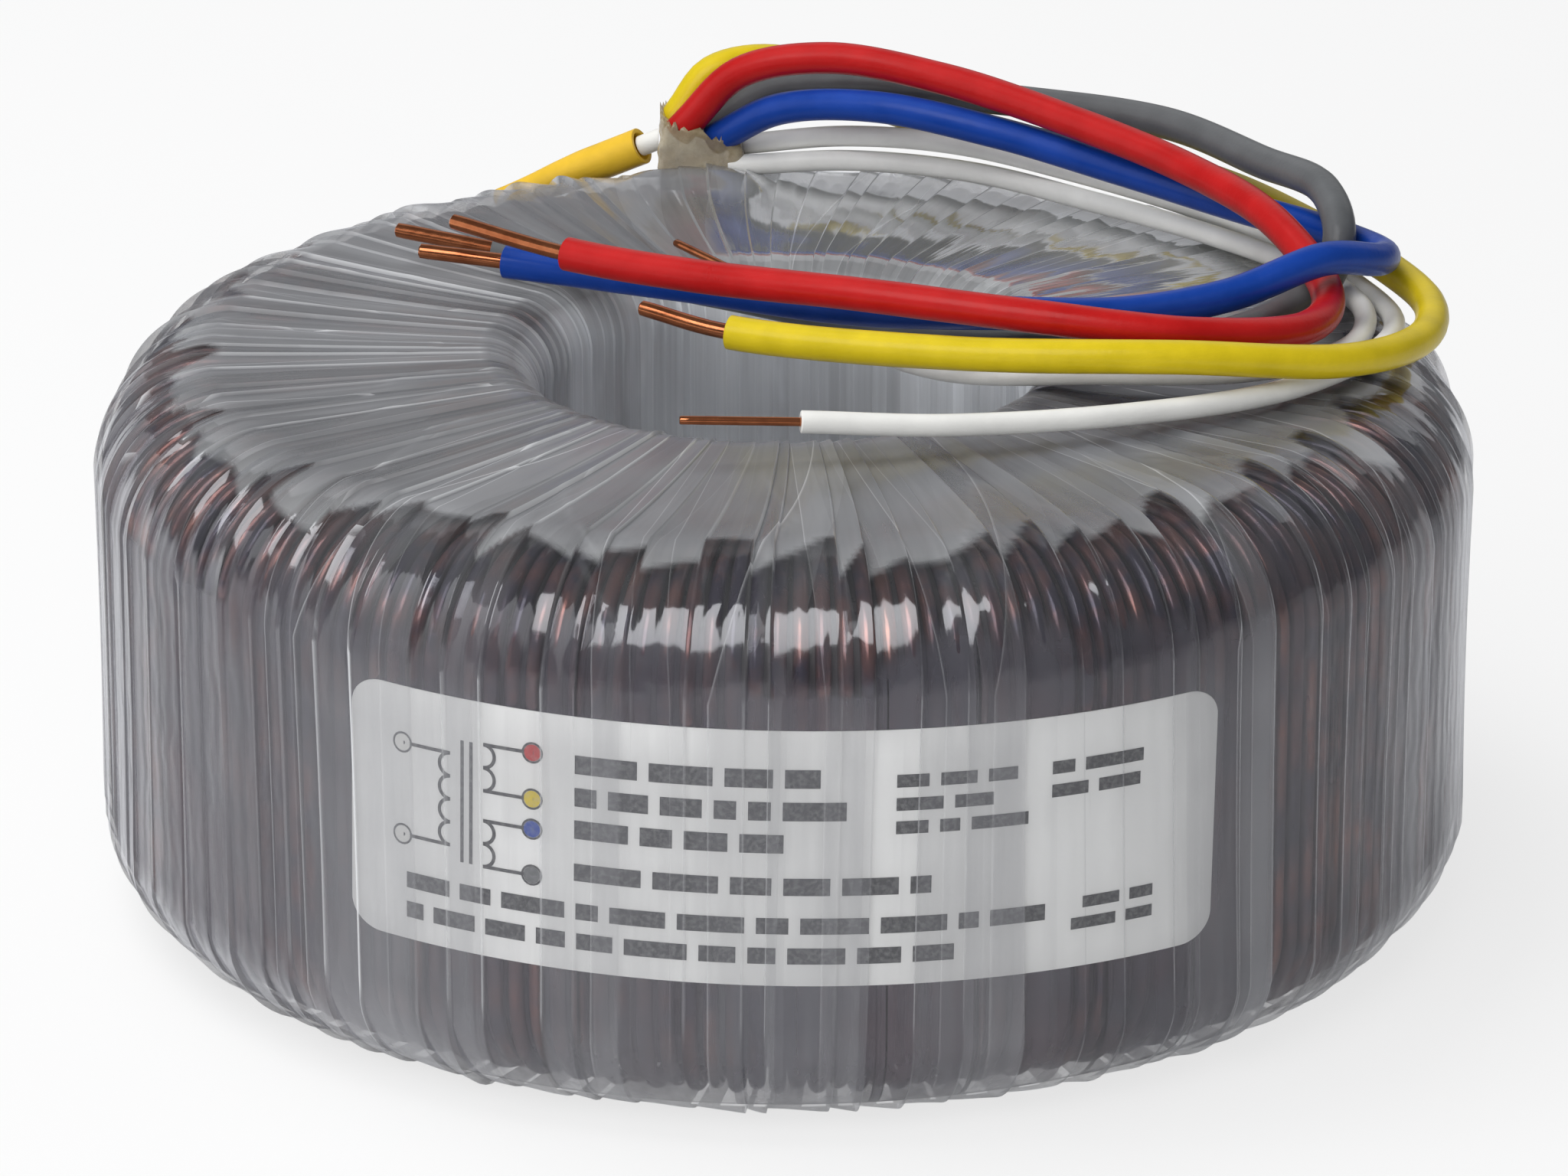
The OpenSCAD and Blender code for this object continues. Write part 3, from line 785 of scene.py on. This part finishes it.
def lower_laps_finish(settings):
    """Film that is stained by the varnish below it."""
    f = Finish("polyester_film_below")
    streak = f.noise(1.0, 3.0, where=f.stretched((420.0, 420.0, 9.0)))
    stain = f.noise(95.0, 4.0)
    tint = tuple(settings.inner_colour)
    f.set(Base_Color=f.mix(f.ramp(stain, 0.42, 0.66), tint, times(tint, 1.05, 0.86, 0.86)),
          Roughness=0.5, Specular_IOR_Level=0.2,
          Alpha=f.math("MULTIPLY", f.attribute("haze"), f.ramp(streak, 0.3, 0.7, 0.82, 1.18),
                       clamp=True))
    return f.material


def film_finish(settings):
    """Clear film that turns milky where its turns lie on each other."""
    f = Finish("polyester_film")
    haze, edge, polish = (f.attribute(name) for name in ("haze", "film_edge", "polish"))
    wound = f.node("UVMap", uv_map="wound").outputs[0]
    split = f.node("SeparateXYZ", {0: wound}).outputs
    turn, run = split[0], split[1]

    # turns lower down show through: each family leans its own way over the top
    lean = f.ramp(run, 0.32, 1.1, 1.0, 0.0)
    families, lines = 0.0, 0.0
    for count, slant, jitter in ((118.0, 1.6, 0.9), (67.0, -1.9, 1.3)):
        drift = f.noise(1.0, 1.0, where=f.stretched((count * 0.23, 0.12, 1.0), wound))
        phase = f.math("ADD", f.math("MULTIPLY", turn, count), f.math("ADD",
                       f.math("MULTIPLY", lean, slant), f.math("MULTIPLY", drift, jitter)))
        shade = f.node("TexWhiteNoise", {"W": f.math("FLOOR", phase)},
                       noise_dimensions="1D").outputs[0]
        shade = f.math("SUBTRACT", shade, 0.5)
        # painted highlight: a bright line along one edge of each lighter turn below
        rim = f.math("MULTIPLY", f.ramp(f.math("FRACT", phase), 0.0, 0.055, 1.0, 0.0),
                     f.math("MAXIMUM", shade, 0.0))
        families = f.math("ADD", shade, families)
        lines = f.math("ADD", rim, lines)

    # how milky the film is, and where an edge of it gets a painted highlight
    cloud = f.noise(60.0, 3.0)
    streak = f.noise(1.0, 2.0, where=f.stretched((260.0, 3.0, 1.0), wound))
    radius = f.node("VectorMath", {0: f.stretched((1.0, 1.0, 0.0))},
                    operation="LENGTH").outputs[1]
    hole = settings.hole_radius
    in_hole = f.ramp(radius, hole + 0.1 * MM, hole + 2.2 * MM, 1.0, 0.0)
    milk = f.math("ADD", haze, f.math("MULTIPLY", families,
                                      f.ramp(in_hole, 0.0, 1.0, 0.17, 0.08)))
    milk = f.math("ADD", milk, f.ramp(cloud, 0.3, 0.7, -0.06, 0.06))
    milk = f.math("ADD", milk, f.ramp(streak, 0.3, 0.7, -0.05, 0.05), clamp=True)
    lines = f.math("MULTIPLY", lines, f.math("SUBTRACT", 1.5, in_hole))
    painted_edge_highlight = f.math("MULTIPLY", f.math("ADD", edge, lines, clamp=True), 0.8)

    colour = f.mix(milk, tuple(settings.clear_colour), tuple(settings.milky_colour))
    over_top = f.math("MULTIPLY", f.ramp(run, 0.36, 0.46), f.ramp(run, 0.80, 1.05, 1.0, 0.0))
    top = f.mix(polish, tuple(settings.top_colour), tuple(settings.polished_colour))
    colour = f.mix(over_top, colour, top)
    # the film in the hole: whiter for its piled turns, and brighter still as painted light
    colour = f.mix(in_hole, colour, tuple(settings.hole_milk_and_light_colour))
    # painted highlight on the film's edges: a near-white tint that also makes them opaque
    colour = f.mix(painted_edge_highlight, colour, tuple(settings.edge_highlight_colour))
    cover = f.math("MAXIMUM", f.ramp(milk, 0.0, 1.0, 0.04, 0.96), painted_edge_highlight)

    # the tight film takes the wires' ridges round the shoulder, and ripples elsewhere
    relief = f.bump(f.math("ADD", streak, f.math("MULTIPLY", families, 0.6)), 0.08 * MM, 0.4)
    wires = f.math("SINE", f.math("ADD", f.math("MULTIPLY", turn, TAU * settings.wires),
                   f.math("MULTIPLY", f.noise(190.0, 2.0), 9.0)))
    tight = f.math("MULTIPLY", f.ramp(milk, 0.15, 0.5, 1.0, 0.0),
                   f.math("ADD", f.math("MULTIPLY", wires, 0.5), 0.5))
    ripple = f.math("MULTIPLY", f.noise(90.0, 1.0, 0.4), f.ramp(polish, 0.0, 1.0, 4.0, 6.5))
    relief = f.bump(f.math("ADD", ripple, f.math("MULTIPLY", tight, 0.34)), 0.1 * MM,
                    below=relief)
    f.set(Base_Color=colour, Alpha=cover, Roughness=f.ramp(milk, 0.0, 1.0, 0.25, 0.4),
          Normal=relief, Specular_IOR_Level=0.2)

    # several clear layers mirror more than one does
    mirror = f.node("BsdfGlossy", {"Color": (0.95, 0.96, 1.0), "Normal": relief,
                                   "Roughness": f.ramp(polish, 0.0, 1.0, 0.24, 0.085)})
    fresnel = f.node("Fresnel", {"IOR": 1.5, "Normal": relief}).outputs[0]
    share = f.math("MINIMUM", 0.5,
                   f.math("MULTIPLY", fresnel, f.ramp(polish, 0.0, 1.0, 0.6, 3.0)))
    whole = f.node("MixShader", {0: share, 1: f.shader.outputs[0], 2: mirror.outputs[0]})
    f.link(whole.outputs[0], f.output.inputs["Surface"])
    return f.material


class TOROID_OT_film(bpy.types.Operator):
    """Build the lapped turns of clear film round the ring"""

    bl_idname = "toroid.film"
    bl_label = "Film wrap"

    def execute(self, context):
        settings = context.scene.toroid_body
        film = build_film(settings)
        place(film, "wrap_film", film_finish(settings), "outer_wrap")
        place(build_lower_laps(settings), "wrap_film", lower_laps_finish(settings),
              "outer_wrap")
        return {"FINISHED"}


# ---------------------------------------------------------------- label

# just above the label's face, below the film
PRINT_R = BODY_R - 0.425 * MM

# where lines of print would stand: from, to, height and thickness, in millimetres
LINES = ((-17, 3, 6.9, 1.6), (-17, 5, 4.1, 1.6), (-17, 0, 1.3, 1.6), (-17, 12, -2.4, 1.5),
         (-32, 22, -5.8, 1.4), (-32, 14, -8.4, 1.4), (9, 19, 6.6, 1.1), (9, 17, 4.6, 1.1),
         (9, 20, 2.6, 1.1), (22, 31, 6.6, 1.1), (22, 30, 4.6, 1.1), (25, 31.5, -5.4, 1.0),
         (24, 31.5, -7.2, 1.0))
WORD_LENGTHS, WORD_GAP, SHORTEST_END = (1.6, 6.0), 0.95, 0.8

# the winding diagram, in millimetres: its middle and its lines' width, the gap, top and foot
# of its core's two lines, how far a coil stands out from the middle and its tails from it,
# and the pitch and radius of a coil's loops
DIAGRAM, LINE = -26.4, 0.3
CORE_GAP, CORE_TOP, CORE_FOOT = 0.8, 7.4, -3.2
COIL_OUT, COIL_TAIL, LOOP_PITCH, LOOP_R = 1.5, 4.4, 2.0, 0.99
# each coil's side of the core, the height of its lower end and its number of loops
COILS = ((-1, -1.9, 4), (1, 3.4, 2), (1, -3.2, 2))

# the coils' ends, marked with the colour of their leads: the colour, and how far right and up
SPOTS = (("red", -20.6, 7.4), ("yellow", -20.6, 3.4), ("blue", -20.6, 0.8),
         ("grey", -20.6, -3.2), ("white", -32.4, 6.1), ("white", -32.4, -1.9))
SPOT_R, SPOT_RIM = 0.72, (0.74, 0.92)


class LabelPrint:
    """Printed marks on the curved label, in millimetres from its middle."""

    def __init__(self, settings):
        self.middle, self.tilt = settings.middle, settings.tilt
        self.points, self.faces = [], []

    def at(self, s, t):
        c, n = math.cos(self.tilt), math.sin(self.tilt)
        s, t = s * c + t * n, t * c - s * n
        a = s * MM / PRINT_R
        return (PRINT_R * math.sin(a), -PRINT_R * math.cos(a), self.middle + t * MM)

    def strip(self, pairs):
        """A ribbon between pairs of points."""
        start = len(self.points)
        for a, b in pairs:
            self.points += [self.at(*a), self.at(*b)]
        for k in range(len(pairs) - 1):
            i = start + 2 * k
            self.faces.append((i, i + 1, i + 3, i + 2))

    def bar(self, s0, s1, t, h):
        """A bar along the label, from s0 to s1."""
        n = max(2, int(abs(s1 - s0)) + 2)
        self.strip([((s, t + h / 2), (s, t - h / 2)) for s in np.linspace(s0, s1, n)])

    def ring(self, s, t, inner, outer, start=0.0, end=360.0, count=20):
        """A ring, or an arc of one between two angles."""
        turns = np.radians(np.linspace(start, end, count))
        self.strip([((s + outer * math.cos(a), t + outer * math.sin(a)),
                     (s + inner * math.cos(a), t + inner * math.sin(a))) for a in turns])

    def words(self, rng):
        """Rows of bars that stand for lines of print."""
        for start, stop, t, h in LINES:
            s = start
            while s < stop - SHORTEST_END:
                word = rng.uniform(*WORD_LENGTHS)
                self.bar(s, min(s + word, stop), t, h)
                s += word + WORD_GAP

    def diagram(self):
        """One coil on the left of the core, two on its right."""
        half = LINE / 2
        for core in (DIAGRAM - CORE_GAP / 2, DIAGRAM + CORE_GAP / 2):
            self.strip([((core + half, t), (core - half, t)) for t in (CORE_TOP, CORE_FOOT)])
        for side, low, count in COILS:
            s, start = DIAGRAM + side * COIL_OUT, -90 * side
            for k in range(count):
                self.ring(s, low + LOOP_PITCH * (k + 0.5), LOOP_R - half, LOOP_R + half,
                          start, start + 180, 14)
            near, far = sorted((s, s + side * COIL_TAIL))
            for t in (low, low + LOOP_PITCH * count):
                self.bar(near, far, t, LINE)

    def piece(self, name):
        return add_mesh(name, self.points, self.faces, smooth=False)


def ink_finish(name, colour):
    """Printing ink, worn a little grey."""
    f = Finish(name)
    grain = f.noise(2600.0, 3.0)
    worn = [c + 0.12 for c in times(colour, 0.75)]
    f.set(Base_Color=f.mix(f.ramp(grain, 0.42, 0.72), tuple(colour), worn),
          Roughness=f.ramp(grain, 0.3, 0.7, 0.42, 0.58))
    return f.material


def paper_finish(settings):
    """Label stock with a faint fibre."""
    f = Finish("label_stock")
    fibre = f.noise(1500.0, 5.0, 0.65)
    cloud = f.noise(60.0, 2.0)
    paper = tuple(settings.paper)
    f.set(Base_Color=f.mix(f.ramp(cloud, 0.3, 0.7), paper, times(paper, 0.93)),
          Roughness=f.ramp(fibre, 0.3, 0.7, 0.45, 0.6), Normal=f.bump(fibre, 0.04 * MM, 0.4))
    return f.material


class TOROID_OT_label(bpy.types.Operator):
    """Build the label's generic print under the film"""

    bl_idname = "toroid.label"
    bl_label = "Label"

    def execute(self, context):
        settings = context.scene.toroid_label
        dress("rating_label", paper_finish(settings))
        ink = LabelPrint(settings)
        ink.words(np.random.default_rng(5))
        ink.diagram()
        place(ink.piece("label_print"), "label_paper",
              ink_finish("printing_ink", settings.ink))
        for n, (colour, s, t) in enumerate(SPOTS, 1):
            spot, rim = LabelPrint(settings), LabelPrint(settings)
            spot.ring(s, t, 0.0, SPOT_R)
            rim.ring(s, t, *SPOT_RIM)
            place(spot.piece(f"label_spot_{n}"), "label_paper",
                  ink_finish(f"spot_ink_{n}", getattr(context.scene.toroid_leads, colour)))
            place(rim.piece(f"label_spot_rim_{n}"), "label_paper",
                  ink_finish(f"rim_ink_{n}", settings.ink))
        return {"FINISHED"}


# ---------------------------------------------------------------- tapes and joint


def tape_finish(name, colour, cover, milky):
    """Adhesive tape, wrinkled and glossy, milky where its turns lie loose."""
    f = Finish(name)
    cloud = f.noise(330.0, 5.0, 0.6)
    fine = f.noise(1400.0, 3.0)
    f.set(Base_Color=f.mix(f.ramp(cloud, 0.42, 0.68), tuple(colour), tuple(milky)),
          Alpha=f.ramp(cloud, 0.35, 0.70, cover, min(1.0, cover + 0.14)),
          Roughness=f.ramp(fine, 0.3, 0.7, 0.16, 0.34), Normal=f.bump(fine, 0.15 * MM, 0.6),
          Coat_Weight=0.6, Coat_Roughness=0.1)
    return f.material


# the exit tape's mesh: points round it and up it, how square it is, how far it starts below
# the top of the ring, how deep its rim is torn, and the folds of its mouth as a share of the
# rim and a drop
STACK_SIDES, STACK_LEVELS, SQUARENESS, STACK_SUNK, TEAR = 96, 15, 0.45, 1.0, 0.315
MOUTH = ((0.86, 0.5), (0.62, 0.9), (0.3, 0.8))


def build_exit_tape():
    """A pinched stack of adhesive tape with torn upper edges."""
    rng = np.random.default_rng(3)
    wide, deep = EXIT_RIGHT - EXIT_LEFT, EXIT_DEPTH
    middle_x, middle_y = EXIT_LEFT + wide / 2, EXIT_FRONT + deep / 2
    tears = TEAR * rng.normal(size=STACK_SIDES)
    loops = []
    for level in range(STACK_LEVELS):
        u = level / (STACK_LEVELS - 1)
        ring = []
        for k in range(STACK_SIDES):
            a = k * TAU / STACK_SIDES
            c, s = math.cos(a), math.sin(a)
            x = math.copysign(abs(c) ** SQUARENESS, c) * wide / 2
            y = math.copysign(abs(s) ** SQUARENESS, s) * deep / 2
            pinch = 1 + 0.10 * math.sin(math.pi * u) * math.cos(3 * a + 1.0) - 0.05 * u
            rise = (on_exit(middle_x + x, 0)[2] + STACK_SUNK) * u - STACK_SUNK
            if level == STACK_LEVELS - 1:
                rise += tears[k]
            q = Vector((middle_x + x * pinch, middle_y + y * pinch, TOP + rise)) * MM
            wobble = 0.28 * MM * noise.noise(q * 900) * min(1.0, 3 * u)
            ring.append(q + Vector((c, s, 0)) * wobble)
        loops.append(np.array(ring))
    # the ragged rim folds in to a lower, uneven mouth
    rim = loops[-1]
    middle = rim.mean(axis=0)
    for share, drop in MOUTH:
        fold = middle + (rim - middle) * share
        fold[:, 2] = [BODY_H + (on_exit(x / MM, 0)[2] - drop) * MM for x in fold[:, 0]]
        loops.append(fold)
    return add_mesh("exit_tape_stack", *skin(loops))


class TOROID_OT_tapes(bpy.types.Operator):
    """Build the torn tape round the lead exit and finish the anchor tape"""

    bl_idname = "toroid.tapes"
    bl_label = "Tapes"

    def execute(self, context):
        settings = context.scene.toroid_tapes
        place(build_exit_tape(), "exit_film",
              tape_finish("exit_tape_film", settings.exit, 0.66, settings.exit_milky),
              "lead_exit_tape")
        dress("anchor_tape", tape_finish(
            "anchor_tape_film", settings.anchor, 0.95, settings.anchor_milky))
        return {"FINISHED"}


# the splice sleeve, in millimetres and degrees: its mouth, heading, dip, length and radius
SPLICE_AT, SPLICE_HEADING, SPLICE_DIP = (-13, 52, TOP + 1.5), 160, 26
SPLICE_LENGTH, SPLICE_RADIUS, SPLICE_SIDES = 15.5, 1.7, 28
# its mouth and its nose, as shares of the tube's radius and places along it
SPLICE_MOUTH = ((0.74, 2.0), (0.76, 0.05), (0.80, -0.05), (0.97, -0.05))
SPLICE_NOSE = ((0.9, 0.12), (0.55, 0.2))


class TOROID_OT_joint(bpy.types.Operator):
    """Build the shrunk sleeve over the splice beside the exit"""

    bl_idname = "toroid.joint"
    bl_label = "Splice sleeve"

    def execute(self, context):
        heading, dip = math.radians(SPLICE_HEADING), math.radians(SPLICE_DIP)
        along = np.array([math.cos(heading) * math.cos(dip),
                          math.sin(heading) * math.cos(dip), -math.sin(dip)]) * MM
        start = np.array(SPLICE_AT) * MM
        steps = np.linspace(0, 1, 40)
        line = [start + along * SPLICE_LENGTH * t for t in steps]
        # it is shrunk thinner towards its far end
        radii = [SPLICE_RADIUS * MM * (1.0 - 0.30 * float(ease((t - 0.35) / 0.6))
                                       + 0.012 * noise.noise(Vector(p) * 500))
                 for t, p in zip(steps, line)]
        loops = rings(line, radii, SPLICE_SIDES)
        mouth, nose = ([centre + (loop - centre) * share + along * at for share, at in ends]
                       for centre, loop, ends in ((start, loops[0], SPLICE_MOUTH),
                                                  (line[-1], loops[-1], SPLICE_NOSE)))
        tube = add_mesh("splice_sleeve", *skin(mouth + loops + nose))
        place(tube, "joint_tube", pvc("splice_sleeving", context.scene.toroid_tapes.splice,
                                      0.40, 0.08), "joint_sleeve")
        tube.data.set_sharp_from_angle(angle=SHARP_ANGLE)
        return {"FINISHED"}


# ---------------------------------------------------------------- windings and core


def enamel_finish(name, colour, varnish):
    """Copper wire under a dark varnish that thins over its crown."""
    f = Finish(name)
    cloud = f.noise(210.0, 4.0)
    along = f.noise(1.0, 2.0, where=f.stretched((420.0, 420.0, 60.0)))
    f.set(Base_Color=f.mix(f.ramp(cloud, 0.42, 0.78), varnish, colour),
          Metallic=f.ramp(cloud, 0.42, 0.78, 0.55, 1.0),
          Roughness=f.ramp(along, 0.3, 0.7, 0.16, 0.28), Normal=f.bump(along, 0.1 * MM, 0.3),
          Coat_Weight=0.6, Coat_Roughness=0.12)
    return f.material


def sheet_finish(name, colour, roughness, metallic=0.0, stretch=(300.0, 300.0, 300.0)):
    """Film, plastic, steel strip or packed wire, by how its grain is stretched."""
    f = Finish(name)
    grain = f.noise(1.0, 4.0, where=f.stretched(stretch))
    f.set(Base_Color=f.mix(f.ramp(grain, 0.3, 0.7), times(colour, 0.82), colour),
          Metallic=metallic,
          Roughness=f.ramp(grain, 0.3, 0.7, roughness - 0.06, roughness + 0.08),
          Normal=f.bump(grain, 0.08 * MM, 0.5))
    return f.material


class TOROID_OT_inside(bpy.types.Operator):
    """Finish the windings, the wraps, the caps and the core"""

    bl_idname = "toroid.inside"
    bl_label = "Windings and core"

    def execute(self, context):
        for wire, crown, varnish in (("a", (0.46, 0.19, 0.13), (0.045, 0.036, 0.066)),
                                     ("b", (0.40, 0.16, 0.12), (0.040, 0.033, 0.060))):
            dress("secondary_winding_" + wire,
                  enamel_finish("enamelled_wire_" + wire, crown, varnish))
        dress("primary_winding", sheet_finish(
            "fine_enamelled_wire", (0.42, 0.17, 0.09), 0.34, 0.7, (60.0, 60.0, 2400.0)))
        dress("interwinding_wrap", sheet_finish(
            "film_over_primary", (0.085, 0.068, 0.078), 0.3))
        dress("core_wrap", sheet_finish("insulating_film", (0.60, 0.56, 0.36), 0.3))
        cap = sheet_finish("cap_plastic", (0.70, 0.68, 0.60), 0.45)
        dress("core_cap_top", cap)
        dress("core_cap_bottom", cap)
        dress("core", sheet_finish(
            "electrical_steel", (0.30, 0.31, 0.33), 0.4, 0.9, (1500.0, 1500.0, 12.0)))
        return {"FINISHED"}


# ---------------------------------------------------------------- stage

CAMERA_AT, CAMERA_AIM, CAMERA_SHIFT = (0.0, -0.6538, 0.2709), (0.0, 0.0, 0.0242), (0.0005, 0.014)
PANELS_AIM = (0.0, 0.0, 0.03)
FLOOR_HALF, FLOOR_WHITE = 3.0, 0.74


def aim(thing, target):
    """Turns a camera or a lamp to the target."""
    way = Vector(target) - thing.location
    thing.rotation_euler = way.to_track_quat("-Z", "Y").to_euler()


def panel(name, location, width, height, power, mirrored):
    """A soft lamp turned to the piece, that its gloss mirrors or not."""
    data = bpy.data.lights.new(name, "AREA")
    data.shape = "RECTANGLE"
    data.size, data.size_y, data.energy = width, height, power
    lamp = bpy.data.objects.new(name, data)
    bpy.context.scene.collection.objects.link(lamp)
    lamp.location = location
    lamp.visible_glossy = mirrored
    aim(lamp, PANELS_AIM)


def seen_white(tree, shader, white_node, weights, share=1.0):
    """Blends plain white into what the camera, and the other rays named, see."""
    path = tree.nodes.new("ShaderNodeLightPath")
    total = path.outputs["Is Camera Ray"]
    for name, weight in weights.items():
        add = tree.nodes.new("ShaderNodeMath")
        add.operation, add.use_clamp = "MULTIPLY_ADD", True
        add.inputs[1].default_value = weight
        tree.links.new(path.outputs[name], add.inputs[0])
        tree.links.new(total, add.inputs[2])
        total = add.outputs[0]
    scale = tree.nodes.new("ShaderNodeMath")
    scale.operation = "MULTIPLY"
    scale.inputs[1].default_value = share
    tree.links.new(total, scale.inputs[0])
    white = tree.nodes.new(white_node)
    white.inputs["Color"].default_value = (1, 1, 1, 1)
    white.inputs["Strength"].default_value = 1.0
    mix = tree.nodes.new("ShaderNodeMixShader")
    for source, target in zip((scale.outputs[0], shader, white.outputs[0]), mix.inputs):
        tree.links.new(source, target)
    return mix.outputs[0]


def set_camera(scene, lens):
    """A long lens, from a little above the ring."""
    data = bpy.data.cameras.new("view")
    data.lens, data.sensor_width = lens, 36.0
    data.shift_x, data.shift_y = CAMERA_SHIFT
    camera = bpy.data.objects.new("view", data)
    scene.collection.objects.link(camera)
    camera.location = CAMERA_AT
    aim(camera, CAMERA_AIM)
    scene.camera = camera


def lay_floor(colour):
    """A wide sheet of white paper that keeps its shadows."""
    size = FLOOR_HALF
    floor = add_mesh("floor", [(-size, -size, 0), (size, -size, 0), (size, size, 0),
                               (-size, size, 0)], [(0, 1, 2, 3)], smooth=False)
    f = Finish("floor_paper")
    grain = f.noise(40.0, 4.0)
    f.set(Base_Color=f.mix(f.ramp(grain, 0.3, 0.7), colour, times(colour, 0.99)),
          Roughness=0.7)
    seen = seen_white(f.tree, f.shader.outputs[0], "ShaderNodeEmission",
                      {"Is Glossy Ray": 0.3, "Is Transmission Ray": 1.0}, FLOOR_WHITE)
    f.link(seen, f.output.inputs["Surface"])
    floor.data.materials.append(f.material)


def white_room(scene, level):
    """A room that is plain white to the camera, and its own level to everything else."""
    world = bpy.data.worlds.new("room")
    world.use_nodes = True
    tree = world.node_tree
    tree.nodes.clear()
    sky = tree.nodes.new("ShaderNodeBackground")
    sky.inputs["Color"].default_value = (0.95, 0.97, 1.0, 1)
    sky.inputs["Strength"].default_value = level
    seen = seen_white(tree, sky.outputs[0], "ShaderNodeBackground", {})
    out = tree.nodes.new("ShaderNodeOutputWorld")
    tree.links.new(seen, out.inputs["Surface"])
    scene.world = world


class TOROID_OT_stage(bpy.types.Operator):
    """Set the camera, the floor, the lamps and the room"""

    bl_idname = "toroid.stage"
    bl_label = "Stage"

    def execute(self, context):
        scene, settings = context.scene, context.scene.toroid_stage
        set_camera(scene, settings.lens)
        lay_floor(tuple(settings.floor_colour))
        white_room(scene, settings.room_level)
        key, fill = settings.key_power, settings.fill_power
        # each panel's place, width, height and power, and whether gloss mirrors it
        for name, location, width, height, power, mirrored in (
                ("overhead", (-0.30, 0.10, 0.75), 0.50, 0.50, key, False),
                ("front_left", (-0.26, -0.56, 0.70), 0.62, 0.55, fill, True),
                ("left", (-0.95, -0.25, 0.40), 0.80, 0.85, fill * 0.5, True),
                ("low_front", (-0.32, -1.00, 0.20), 0.60, 0.36, fill, False),
                ("behind", (0.20, 0.80, 0.60), 1.40, 0.70, fill * 0.35, True)):
            panel(name, location, width, height, power, mirrored)
        scene.view_settings.view_transform = "Standard"
        scene.cycles.max_bounces = 8
        scene.cycles.diffuse_bounces = 3
        scene.cycles.glossy_bounces = 3
        return {"FINISHED"}


# ---------------------------------------------------------------- add-on


OPERATORS = (TOROID_OT_stage, TOROID_OT_leads, TOROID_OT_joint, TOROID_OT_tapes,
             TOROID_OT_film, TOROID_OT_label, TOROID_OT_inside)


class TOROID_PT_panel(bpy.types.Panel):
    """Lists the pieces of the transformer"""

    bl_idname = "TOROID_PT_panel"
    bl_label = "Toroidal transformer"
    bl_space_type = "VIEW_3D"
    bl_region_type = "UI"
    bl_category = "Toroid"

    def draw(self, context):
        for operator in OPERATORS:
            self.layout.operator(operator.bl_idname)
        for name in SETTINGS:
            group = getattr(context.scene, name)
            box = self.layout.box()
            for prop in group.__annotations__:
                box.prop(group, prop)


SETTINGS = {"toroid_body": ToroidBody, "toroid_leads": ToroidLeads,
            "toroid_label": ToroidLabel, "toroid_tapes": ToroidTapes,
            "toroid_stage": ToroidStage}
CLASSES = (*SETTINGS.values(), *OPERATORS, TOROID_PT_panel)


def register():
    for cls in CLASSES:
        bpy.utils.register_class(cls)
    for name, group in SETTINGS.items():
        setattr(bpy.types.Scene, name, PointerProperty(type=group))


def unregister():
    for name in SETTINGS:
        delattr(bpy.types.Scene, name)
    for cls in reversed(CLASSES):
        bpy.utils.unregister_class(cls)


def main():
    register()
    for operator in OPERATORS:
        getattr(bpy.ops.toroid, operator.bl_idname.split(".")[1])()


if __name__ == "__main__":
    main()
